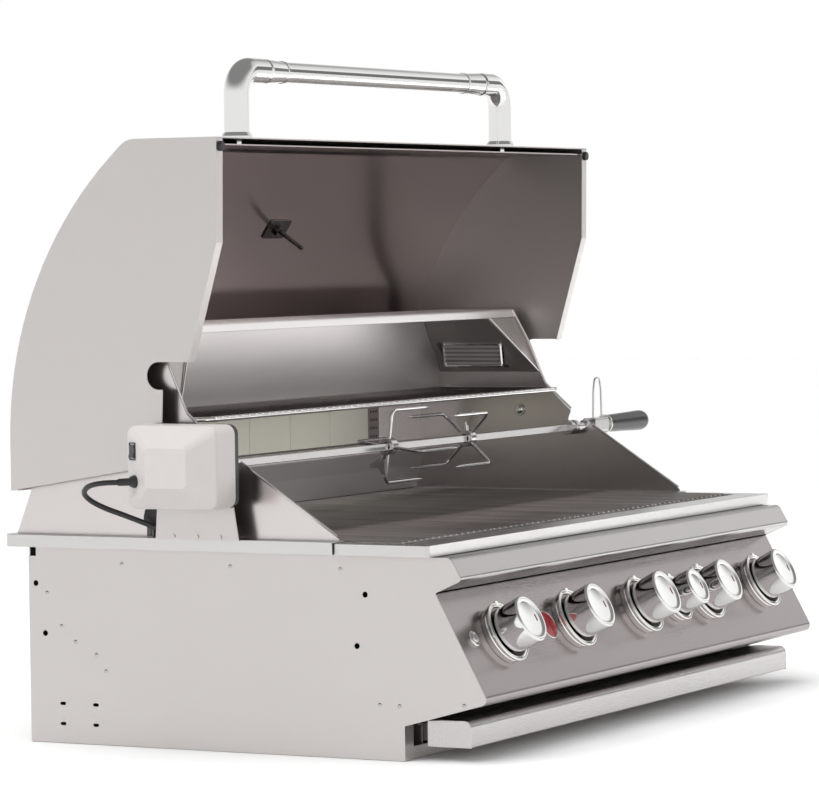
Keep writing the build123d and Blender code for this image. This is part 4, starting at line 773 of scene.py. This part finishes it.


# Warming rack: a bent rod frame with dark cross wires welded on it. Each wire's front end carries
# a short, slightly thicker sleeve of the bright rod steel: a painted highlight that stands as a
# tooth over the front rod.
RACK_Z = 394.0
RACK_FRONT = 5.0
RACK_REAR = 191.0
RACK_HALF = 476.95
RACK_ROD = 3.0
RACK_WIRE = 1.6
RACK_WIRES = 59
TIP_LONG = 7.0


def circle(radius, sides):
    """A ring of points at one radius."""
    angle = np.linspace(0, math.tau, sides, endpoint=False)
    return np.stack([np.cos(angle), np.sin(angle)], 1) * radius


def carried(path, section, normal, shrink=None):
    """A section carried along a flat path, square to its run at each point; it may shrink on the
    way, and both ends are closed."""
    path = np.asarray(path, float)
    normal = unit(normal)
    side = unit(np.cross(unit(np.gradient(path, axis=0)), normal))
    size = np.ones(len(path)) if shrink is None else np.asarray(shrink, float)
    offsets = section[None, :, :1] * side[:, None] + section[None, :, 1:] * normal
    rows = path[:, None] + size[:, None, None] * offsets
    first = np.broadcast_to(path[0], (1, *rows.shape[1:]))
    last = np.broadcast_to(path[-1], (1, *rows.shape[1:]))
    return grid(np.concatenate([first, rows, last]), around=True)


rack_steel = polished("rack_steel", (0.17, 0.15, 0.145), 0.25)
bright_steel_and_painted_highlight = polished("bright_steel_and_painted_highlight", (0.88, 0.87, 0.85), 0.18)
frame_path = rounded(
    [(-RACK_HALF, RACK_REAR, RACK_Z), (-RACK_HALF, RACK_FRONT, RACK_Z),
     (RACK_HALF, RACK_FRONT, RACK_Z), (RACK_HALF, RACK_REAR, RACK_Z)],
    25.0, 10,
)
rear_y = RACK_REAR - RACK_ROD
rear_path = [(-RACK_HALF, rear_y, RACK_Z), (RACK_HALF, rear_y, RACK_Z)]
frame_rods = [carried(path, circle(RACK_ROD, 12), (0, 0, 1)) for path in [frame_path, rear_path]]
rods = []
wire_z = RACK_Z + RACK_WIRE
tip_front = RACK_FRONT - RACK_WIRE * 1.6
for number in range(RACK_WIRES):
    x = -RACK_HALF + (number + 1) * RACK_HALF * 2 / (RACK_WIRES + 1)
    rods.append(carried([(x, RACK_FRONT - RACK_WIRE, wire_z), (x, RACK_REAR, wire_z)],
                        circle(RACK_WIRE, 8), (0, 0, 1)))
    # The sleeve on each wire's front end is a painted highlight.
    frame_rods.append(carried([(x, tip_front, wire_z), (x, tip_front + TIP_LONG, wire_z)],
                              circle(RACK_WIRE * 1.15, 8), (0, 0, 1)))
make("rack_rods", frame_rods, bright_steel_and_painted_highlight, "warming_rack")
make("rack_wires", rods, rack_steel, "warming_rack", shown=False)


# Wall rims: the side walls' front edges are rolled over, and a bright bead along each is a painted
# highlight, as are the bright strips along the lamp housings' folded seams. Each hinge pin ends
# inside in a polished dome of the same bright steel, a painted highlight too.
RIM_RADIUS = 1.5
SEAM_RADIUS = 1.1
SEAM_TILT = (0.685, 0.729)
PIN_Y = 70.0
PIN_Z = 365.0
DOME_INSET = 2.6
RIM_LINES = [
    [(-172.0, 260.0), (-43.0, 344.5)],
    [(-9.0, 367.5), (30.1, 402.5), (37.8, 420.0), (57.1, 465.1), (80.0, 505.0)],
]
LAMP_SEAMS = [
    [(397.5, 178.5, 495.0), (479.0, 194.5, 419.0)],
    [(397.5, 74.5, 495.5), (479.0, 39.0, 419.0)],
]
wall_middle = CASING_HALF - 1.5
for name, side in [("left", -1), ("right", 1)]:
    beads = [
        carried([(side * wall_middle, y, z) for y, z in line], circle(RIM_RADIUS, 8), (side, 0, 0))
        for line in RIM_LINES
    ]
    dome_seat = (side * (wall_middle - DOME_INSET), PIN_Y, PIN_Z)
    beads.append(turned(screw(5.5, 2.4), dome_seat, (-side, 0, 0), 20))
    # The beads and the domes are in the bright steel as painted highlights.
    make(f"wall_rim_highlights_{name}", beads, bright_steel_and_painted_highlight, f"wing_{name}", shown=False)
seams = [
    carried([(side * x, y, z) for x, y, z in line], circle(SEAM_RADIUS, 8),
            (side * SEAM_TILT[0], 0, SEAM_TILT[1]))
    for side in [-1, 1]
    for line in LAMP_SEAMS
]
# The seam strips are painted highlights.
make("lamp_seam_highlights", seams, bright_steel_and_painted_highlight, "lamp_housings", shown=False)


# Hood, standing open: an outer skin and a liner, both rolled to the same round back, between two
# flat side plates. It turns on two pins in the side walls.
HOOD_ROOF = 729.0
HOOD_FRONT = -28.0
HOOD_ARC_Y = -190.4
HOOD_ARC_Z = 369.2
HOOD_RADIUS = 459.84
HOOD_ARC_END = math.radians(47.37)
HOOD_ROUND = 30.0
HOOD_LOW = 307.0
SHEET = 1.5
SKIN_HALF = 500.1
LINER_GAP = 8.0
LINER_FRONT = -26.2


def hood_line(inset, front_y):
    """The hood's line from its front edge: level roof, a bend, an arc of a circle down the back,
    and a straight foot. Its inset moves it towards the arc's centre."""
    radius = HOOD_RADIUS - inset
    roof = HOOD_ROOF - inset
    centre = np.array([HOOD_ARC_Y, HOOD_ARC_Z])
    start = centre + radius * np.array([math.cos(HOOD_ARC_END), math.sin(HOOD_ARC_END)])
    run = (roof - start[1]) / math.cos(HOOD_ARC_END)
    corner = (start[0] - run * math.sin(HOOD_ARC_END), roof)
    bend = rounded([(front_y, roof), corner, start], HOOD_ROUND - inset, 10)
    angle = np.linspace(HOOD_ARC_END, 0, 72)[1:, None]
    arc = centre + radius * np.hstack([np.cos(angle), np.sin(angle)])
    return np.vstack([bend, arc, [(HOOD_ARC_Y + radius, HOOD_LOW)]])


hood_steel = steel("hood_steel", STEEL, 0.36, (8, 1000, 1000))
hood_side_steel = steel("hood_side_steel", STEEL, 0.44, (10, 12, 900))
liner_steel = steel("liner_steel", (0.56, 0.50, 0.495), 0.17, (10, 500, 500))
for name, node, inset, front_y, material in [
    ("hood_shell", "hood_skin", 0.0, HOOD_FRONT, hood_steel),
    ("hood_inner_shell", "hood_liner", LINER_GAP, LINER_FRONT, liner_steel),
]:
    outside = hood_line(inset, front_y)
    inside = hood_line(inset + SHEET, front_y)[::-1]
    make(name, [along_x(np.vstack([outside, inside]), -SKIN_HALF, SKIN_HALF * 2)], material, node)
from_node("hood_sides", hood_side_steel)
from_node("hinge_pins", fastener, edge=0.2)


# Bumpers: round black rubber feet pressed into the hood's front corners, which meet the casing when
# the hood is shut.
BUMPER_X = 494.1
BUMPER_Z = 718.0
bumper_line = rounded([(0, 0), (6, 0), (6, 4.6), (0, 4.6)], [0.1, 1.4], 4)
bumpers = [
    turned(bumper_line, (side * BUMPER_X, HOOD_FRONT, BUMPER_Z), (0, -1, 0), 32) for side in [-1, 1]
]
make("corner_bumpers", bumpers, cord_rubber, "hood_bumpers")


# Handle: a chromed tube between two cast and polished elbows, each on a round foot that is screwed
# through the hood's roof.
BAR_RADIUS = 13.0
BAR_HALF = 241.0
BAR_Y = 31.4
BAR_Z = 813.8
POST_X = 353.0
POST_RADIUS = 15.5
CONE_END = 292.0
ELBOW_BEND = 57.0
FOOT_HIGH = 9.0
tube_line = [(0, -BAR_HALF), (BAR_RADIUS, -BAR_HALF), (BAR_RADIUS, BAR_HALF), (0, BAR_HALF)]
make("handle_tube", [turned(tube_line, (0, BAR_Y, BAR_Z), (1, 0, 0), 48)], chrome, "handle_bar")
elbows = []
for side in [-1, 1]:
    sleeve = rounded(
        [(0, BAR_HALF), (14.2, BAR_HALF), (14.2, BAR_HALF + 5), (13.5, BAR_HALF + 5.4),
         (POST_RADIUS, CONE_END), (0, CONE_END)],
        [0.8, 0.8, 0.3, 12.0], 4,
    )
    elbows.append(turned(sleeve, (0, BAR_Y, BAR_Z), (side, 0, 0), 48))
    elbow_path = rounded(
        [(side * CONE_END, BAR_Y, BAR_Z), (side * POST_X, BAR_Y, BAR_Z),
         (side * POST_X, BAR_Y, HOOD_ROOF + FOOT_HIGH)],
        ELBOW_BEND, 24,
    )
    elbows.append(carried(elbow_path, circle(POST_RADIUS, 48), (0, 1, 0)))
    foot = rounded([(0, 0), (19, 0), (19, 4.5), (16.4, FOOT_HIGH), (0, FOOT_HIGH)],
                   [0.3, 1.8, 2.0], 4)
    foot_seat = (side * POST_X, BAR_Y, HOOD_ROOF)
    elbows.append(turned(foot, foot_seat, (0, 0, 1), 48))
    bolt = [(0, -5.8), (6, -5.8), (6, -1.8), (2.9, -1.8), (2.9, 0.2), (0, 0.2)]
    elbows.append(turned(bolt, foot_seat, (0, 0, 1), 6))
make("handle_elbows", elbows, chrome, "handle_posts")


# Thermometer: a round dial on the hood's back, its probe through both skins, and a clamp plate with
# a nut against the liner.
DIAL_ANGLE = math.radians(34.1)
DIAL_SWEEP = 135
NEEDLE_TURN = 2.1
TICKS = 25
TICK_END = 30.0
dial_out = np.array([0, math.cos(DIAL_ANGLE), math.sin(DIAL_ANGLE)])
dial_up = np.array([0, -math.sin(DIAL_ANGLE), math.cos(DIAL_ANGLE)])
dial_seat = np.array([0, HOOD_ARC_Y, HOOD_ARC_Z]) + dial_out * HOOD_RADIUS
case = rounded(
    [(0, 0.6), (34.5, 0.6), (37.5, 3), (37.5, 9.5), (36, 11), (34, 9.8), (33.5, 8.2), (0, 8.2)],
    [0.5, 1.0, 1.0, 0.8, 0.8, 0.3], 3,
)
make("dial_case", [turned(case, dial_seat, dial_out, 72)], chrome, "thermometer")
dial_face = moulded("dial_face", (0.78, 0.77, 0.74), 0.4, depth=0.02)
dial_ink = moulded("dial_ink", (0.02, 0.02, 0.02), 0.5)
dial_disc = [(0, 8.0), (33.2, 8.0), (33.2, 8.5), (0, 8.5)]
make("dial_plate", [turned(dial_disc, dial_seat, dial_out, 64)], dial_face, "thermometer",
     shown=False, slot="white_plastic")


def on_dial(turn_by, outline, lift, thick):
    """A flat mark on the dial: an outline that points away from the middle, turned from the top."""
    along = dial_up * math.cos(turn_by) - RIGHT * math.sin(turn_by)
    seat = dial_seat + dial_out * lift
    return drawn(outline, seat, along, np.cross(dial_out, along), dial_out * thick)


marks = []
for number in range(TICKS):
    angle = math.radians(-DIAL_SWEEP + 2 * DIAL_SWEEP * number / (TICKS - 1))
    start = TICK_END - (5.0 if number % 4 == 0 else 2.8)
    tick = [(start, -0.35), (TICK_END, -0.35), (TICK_END, 0.35), (start, 0.35)]
    marks.append(on_dial(angle, tick, 8.45, 0.2))
marks.append(on_dial(NEEDLE_TURN, [(-7, -1.1), (24, -0.3), (24, 0.3), (-7, 1.1)], 8.7, 0.3))
marks.append(turned([(0, 8.4), (2.6, 8.4), (2.6, 9.6), (0, 9.6)], dial_seat, dial_out, 24))
make("dial_marks", marks, dial_ink, "thermometer", shown=False)
probe_steel = polished("probe_steel", (0.10, 0.09, 0.09), 0.25)
probe = rounded([(0, -57), (2.9, -57), (2.9, 0.5), (0, 0.5)], [1.6, 0.1], 4)
clamp = [
    turned(probe, dial_seat, dial_out, 24),
    drawn(rectangle(54, 28, 3.0, 4), dial_seat - dial_out * 10.1, RIGHT, dial_up, -dial_out * 1.5),
    drawn(circle(8, 6), dial_seat - dial_out * 11.6, RIGHT, dial_up, -dial_out * 5),
]
make("dial_clamp", clamp, probe_steel, "thermometer", shown=False, slot="black_steel", edge=0.4)


# Spit motor: a moulded housing with a hipped cap on a black gasket, screwed to a folded bracket
# that stands on the flange.
MOTOR_BACK = -513.0
MOTOR_MIDDLE = (7.5, 341.5)
MOTOR_HALF = (61.5, 49.5)
MOTOR_CORNER = 12.0
CAP_MIDDLE = (4.5, 341.5)
CAP_HALF = (26.5, 23.5)
CAP_CORNER = 5.0
CAP_DEPTH = 35.0
CAP_BOW = 7.0
CLOSE_RUN = 20.0
GASKET_THICK = 8.0


def housing(profile, steps=8):
    """The housing as rounded rectangles along X: a profile of (x, way in) says how far each ring
    has moved from the base's outline to the cap's, and past that to its middle. The cap's front
    edge bows out as one minus the height's square."""
    x, inward = np.asarray(profile, float).T
    share = np.clip(inward / CAP_DEPTH, 0, 1)[:, None]
    shrink = np.clip(1 - (inward - CAP_DEPTH) / CLOSE_RUN, 0, 1)[:, None]

    def mix(base, cap):
        return base + (cap - base) * share

    middle_y = mix(MOTOR_MIDDLE[0], CAP_MIDDLE[0])
    middle_z = mix(MOTOR_MIDDLE[1], CAP_MIDDLE[1])
    half_y = mix(MOTOR_HALF[0], CAP_HALF[0]) * shrink
    half_z = mix(MOTOR_HALF[1], CAP_HALF[1]) * shrink
    corner = mix(MOTOR_CORNER, CAP_CORNER) * shrink
    quarter = np.linspace(0, math.pi / 2, steps + 1)
    angles = (quarter + np.arange(4)[:, None] * math.pi / 2).reshape(1, -1)
    sign_y = np.repeat([1, -1, -1, 1], steps + 1)[None]
    sign_z = np.repeat([1, 1, -1, -1], steps + 1)[None]
    y = middle_y + sign_y * (half_y - corner) + corner * np.cos(angles)
    z = middle_z + sign_z * (half_z - corner) + corner * np.sin(angles)
    rise = (z - middle_z) / np.maximum(half_z, 1e-6)
    front = np.clip((middle_y - y) / np.maximum(half_y, 1e-6), 0, 1)
    y = y - CAP_BOW * share * shrink * front**4 * (1 - rise**2)
    return np.stack([np.broadcast_to(x[:, None], y.shape), y, z], -1)


from_node("motor_bracket", hood_side_steel, edge=0.3)
housing_profile = rounded(
    [(MOTOR_BACK, CLOSE_RUN + CAP_DEPTH), (MOTOR_BACK, 0.0), (-555.0, 0.0), (-577.0, CAP_DEPTH),
     (-577.0, CLOSE_RUN + CAP_DEPTH)],
    [0.4, 5.0, 3.0], 6,
)
motor_plastic = moulded("motor_plastic", (0.55, 0.515, 0.505), 0.38, grain=900.0, depth=0.06,
                        mottle=0.03)
make("motor_case", [grid(housing(housing_profile), around=True)], motor_plastic, "motor_housing",
     sharp=70)
black_plastic = moulded("black_plastic", (0.015, 0.015, 0.016), 0.35)
gasket_line = rectangle(MOTOR_HALF[0] * 2, MOTOR_HALF[1] * 2, MOTOR_CORNER, 8) + MOTOR_MIDDLE
make("motor_gasket_plate", [along_x(gasket_line, MOTOR_BACK, GASKET_THICK)], black_plastic,
     "motor_gasket", edge=0.8)
from_node("drive_socket", fastener, edge=0.3)


# Rocker switch: a black plastic rocker in its frame, snapped into the housing's rear slope. It tips
# about its middle.
SLOPE_RISE = np.array([-22.0, -38.0, 0.0])
UP = np.array([0, 0, 1.0])
slope_along = unit(SLOPE_RISE)
rocker_seat = np.array([-555.0, 69.0, 360.5]) + SLOPE_RISE * 0.32
frame_out = rectangle(14.8, 20.8, 1.2, 3)
frame_in = rectangle(12.4, 18.4, 0.6, 3)
switch_frame = framed([frame_out, frame_out, frame_in, frame_in], [-0.8, 1.2, 1.2, -0.8],
                      rocker_seat, slope_along, UP, GLAND_WAY)
make("switch_frame", [switch_frame], black_plastic, "motor_housing", shown=False,
     slot="black_plastic", edge=0.2)
rocker_line = rounded([(-7.5, 3.1), (0, 1.5), (7.5, 2.2), (7.5, -2), (-7.5, -2)], 0.6, 3,
                      closed=True)
rocker = drawn(rocker_line, rocker_seat - slope_along * 6, UP, GLAND_WAY, slope_along * 12)
make("switch_rocker", [rocker], moulded("rocker_plastic", (0.02, 0.018, 0.03), 0.2),
     "rocker_switch", edge=0.3)


# Strain relief: a moulded nut in the housing's slope, and a tapered rubber sleeve that keeps the
# cord from kinking where it leaves.
gland = rounded(
    [(0, -1), (7.5, -1), (7.5, 2.4), (6.4, 3.2), (6.4, 5.4), (4.6, 6.4), (4.3, 22), (3.1, 23),
     (0, 23)],
    [0.2, 0.6, 0.4, 0.5, 0.6, 3.0, 0.6], 3,
)
make("cord_relief", [turned(gland, GLAND_SEAT, GLAND_WAY, 24)], black_plastic, "cord_gland")


# Plug on the cord's end: a body moulded around the cord, with two flat blades and a round pin. It
# stands on its pins on the flange.
PIN_FOOT = 254.4
BLADE_LONG = 15.4
BLADE_OFF = 6.35
PLUG_RINGS = [
    (296.7, 7.4, 7.4, 3.6), (293.0, 8.0, 9.5, 3.6), (289.2, 10.0, 16.0, 3.2),
    (286.0, 11.4, 20.5, 3.2), (278.0, 12.0, 24.0, 3.0), (270.2, 12.0, 24.0, 3.0),
    (269.2, 10.6, 22.6, 2.4),
]
plug_rows = []
for high, thick, wide, corner in PLUG_RINGS:
    ring = rectangle(thick, wide, corner, 4)
    plug_rows.append(np.hstack([ring + cord_end[:2], np.full((len(ring), 1), high)]))
plug_rows = np.stack(plug_rows)
top_row, low_row = (
    np.broadcast_to(plug_rows[row].mean(0), (1, *plug_rows.shape[1:])) for row in [0, -1]
)
plug_body = grid(np.concatenate([top_row, plug_rows, low_row]), around=True)
plug = make("cord_plug", [plug_body], black_plastic, "motor_plug", slot="black_plastic")
pin_metal = polished("pin_metal", (0.10, 0.095, 0.09), 0.3)
pins = [
    drawn(rectangle(1.5, 6.2, 0.3, 2), (cord_end[0], cord_end[1] + offset, PIN_FOOT),
          (1, 0, 0), (0, 1, 0), (0, 0, BLADE_LONG))
    for offset in [-BLADE_OFF, BLADE_OFF]
]
pin_line = rounded([(0, PIN_FOOT), (2.4, PIN_FOOT), (2.4, 270), (0, 270)], [0.8, 0.1], 3)
pins.append(turned(pin_line, (cord_end[0], cord_end[1], 0), (0, 0, 1), 20))
plug_pins = make("plug_pins", pins, pin_metal, "motor_plug", shown=False, slot="brass")


# Spit: a square polished rod in the motor's socket, with its collar and grooved bushing in the
# right wall's notch.
SPIT_Y = -15.0
SPIT_Z = 341.5


def on_spit(profile, steps):
    """A profile of (radius, x) turned about the spit."""
    return turned(profile, (0, SPIT_Y, SPIT_Z), (1, 0, 0), steps)


rod_steel = polished("rod_steel", (0.60, 0.58, 0.58), 0.16)
from_node("spit_rod", rod_steel, edge=0.9, steps=3)
collar = rounded(
    [(0, 455), (10, 455), (10, 462), (8.6, 463), (8.6, 470), (10, 471), (10, 479.2), (6.9, 479.4),
     (6.9, 484.2), (5.6, 487.2), (5.6, 507.6), (8.4, 509), (8.4, 515), (6.6, 516.4), (6.6, 527),
     (0, 527)],
    0.5, 3,
)
make("spit_bushing", [on_spit(collar, 36)], fastener, "spit_collar", slot="chrome")


# Grip of the spit: a square block with a wire loop, a pale washer and a tapered black handle, all
# threaded on the rod's end.
block = along_x(rectangle(20, 20, 3.0, 4), 527, 43, SPIT_Y, SPIT_Z)
stub = rounded([(0, 570), (10.5, 570), (10.5, 575), (0, 575)], 0.4, 2)
make("spit_block", [block, on_spit(stub, 32)], fastener, "spit_handle", shown=False, slot="chrome",
     edge=0.8)
washer = rounded([(0, 575), (13, 575), (13, 578), (0, 578)], 0.6, 3)
make("spit_washer", [on_spit(washer, 40)], chrome, "spit_handle", shown=False, slot="chrome")
grip_line = rounded(
    [(0, 578), (11.4, 578), (12, 580), (14.3, 690), (13.2, 697.6), (9, 699), (0, 699)],
    [0.4, 1.0, 18.0, 4.0, 3.0],
)
bakelite = moulded("grip_black", (0.006, 0.007, 0.006), 0.26, grain=600.0, depth=0.03)
make("spit_grip", [on_spit(grip_line, 56)], bakelite, "spit_handle")
loop_path = rounded(
    [(540, SPIT_Y, 350.1), (541.5, SPIT_Y, 390), (546, SPIT_Y, 407), (561, SPIT_Y, 407),
     (565.5, SPIT_Y, 390), (567.2, SPIT_Y, 350.1)],
    [30, 6.5, 6.5, 30], 8,
)
make("spit_loop", [carried(loop_path, circle(1.4, 12), (0, 1, 0))], rod_steel, "spit_handle",
     shown=False, slot="chrome")


# Forks: each a hub on the rod with four bent wire tines welded on it, and a thumb screw that holds
# it in place along the rod.
FORK_ARM = 47.0
TINE_RADIUS = 2.2
TINE_LONG = 100.0
TINE_POINT = 14.0
TINE_END_SHARE = 0.2
HUB_RADIUS = 11.0
HUB_HOLE = 6.0
HUB_HALF = 8.0
WING_THICK = 4.4


def fork(name, node, hub_x, toward, first_arm, screw_lean):
    """One fork: a hub, four arms square to the rod with tines that run along it, a thumb screw."""
    hub = rounded([(HUB_HOLE, -HUB_HALF), (HUB_RADIUS, -HUB_HALF), (HUB_RADIUS, HUB_HALF),
                   (HUB_HOLE, HUB_HALF)], [0.2, 1.0, 1.0, 0.2], 3, closed=True)
    centre = np.array([hub_x, SPIT_Y, SPIT_Z])
    shapes = [turned(hub, centre, (1, 0, 0), 32, ring=True)]
    for angle in np.radians(first_arm + np.arange(4) * 90):
        arm = np.array([0, math.cos(angle), math.sin(angle)])
        elbow = centre + arm * FORK_ARM
        point = elbow + RIGHT * toward * (TINE_LONG - TINE_POINT)
        path = rounded([centre + arm * (HUB_RADIUS - 2), elbow, point], 9.0, 6)
        path = np.vstack([path, point + RIGHT * toward * TINE_POINT])
        shrink = np.ones(len(path))
        shrink[-1] = TINE_END_SHARE
        shapes.append(carried(path, circle(TINE_RADIUS, 10), np.cross(arm, RIGHT), shrink))
    lean = math.radians(screw_lean)
    out = np.array([0, math.cos(lean), math.sin(lean)])
    shapes.append(turned([(0, 9.5), (3, 9.5), (3, 22), (0, 22)], centre, out, 20))
    wings = rounded(
        [(-3.5, 17), (3.5, 17), (11.7, 31), (11.7, 35), (8.0, 35.5), (0, 30), (-8.0, 35.5),
         (-11.7, 35), (-11.7, 31)],
        [1.5, 1.5, 2, 2, 1.6, 4, 1.6, 2, 2], 4, closed=True,
    )
    shapes.append(drawn(wings, centre - RIGHT * WING_THICK / 2, np.cross(RIGHT, out), out,
                        RIGHT * WING_THICK))
    make(name, shapes, rod_steel, node, edge=0.5)


fork("left_fork_tines", "fork_left", -64.0, 1, 97, -62)
fork("right_fork_tines", "fork_right", 154.0, -1, 43, 86)
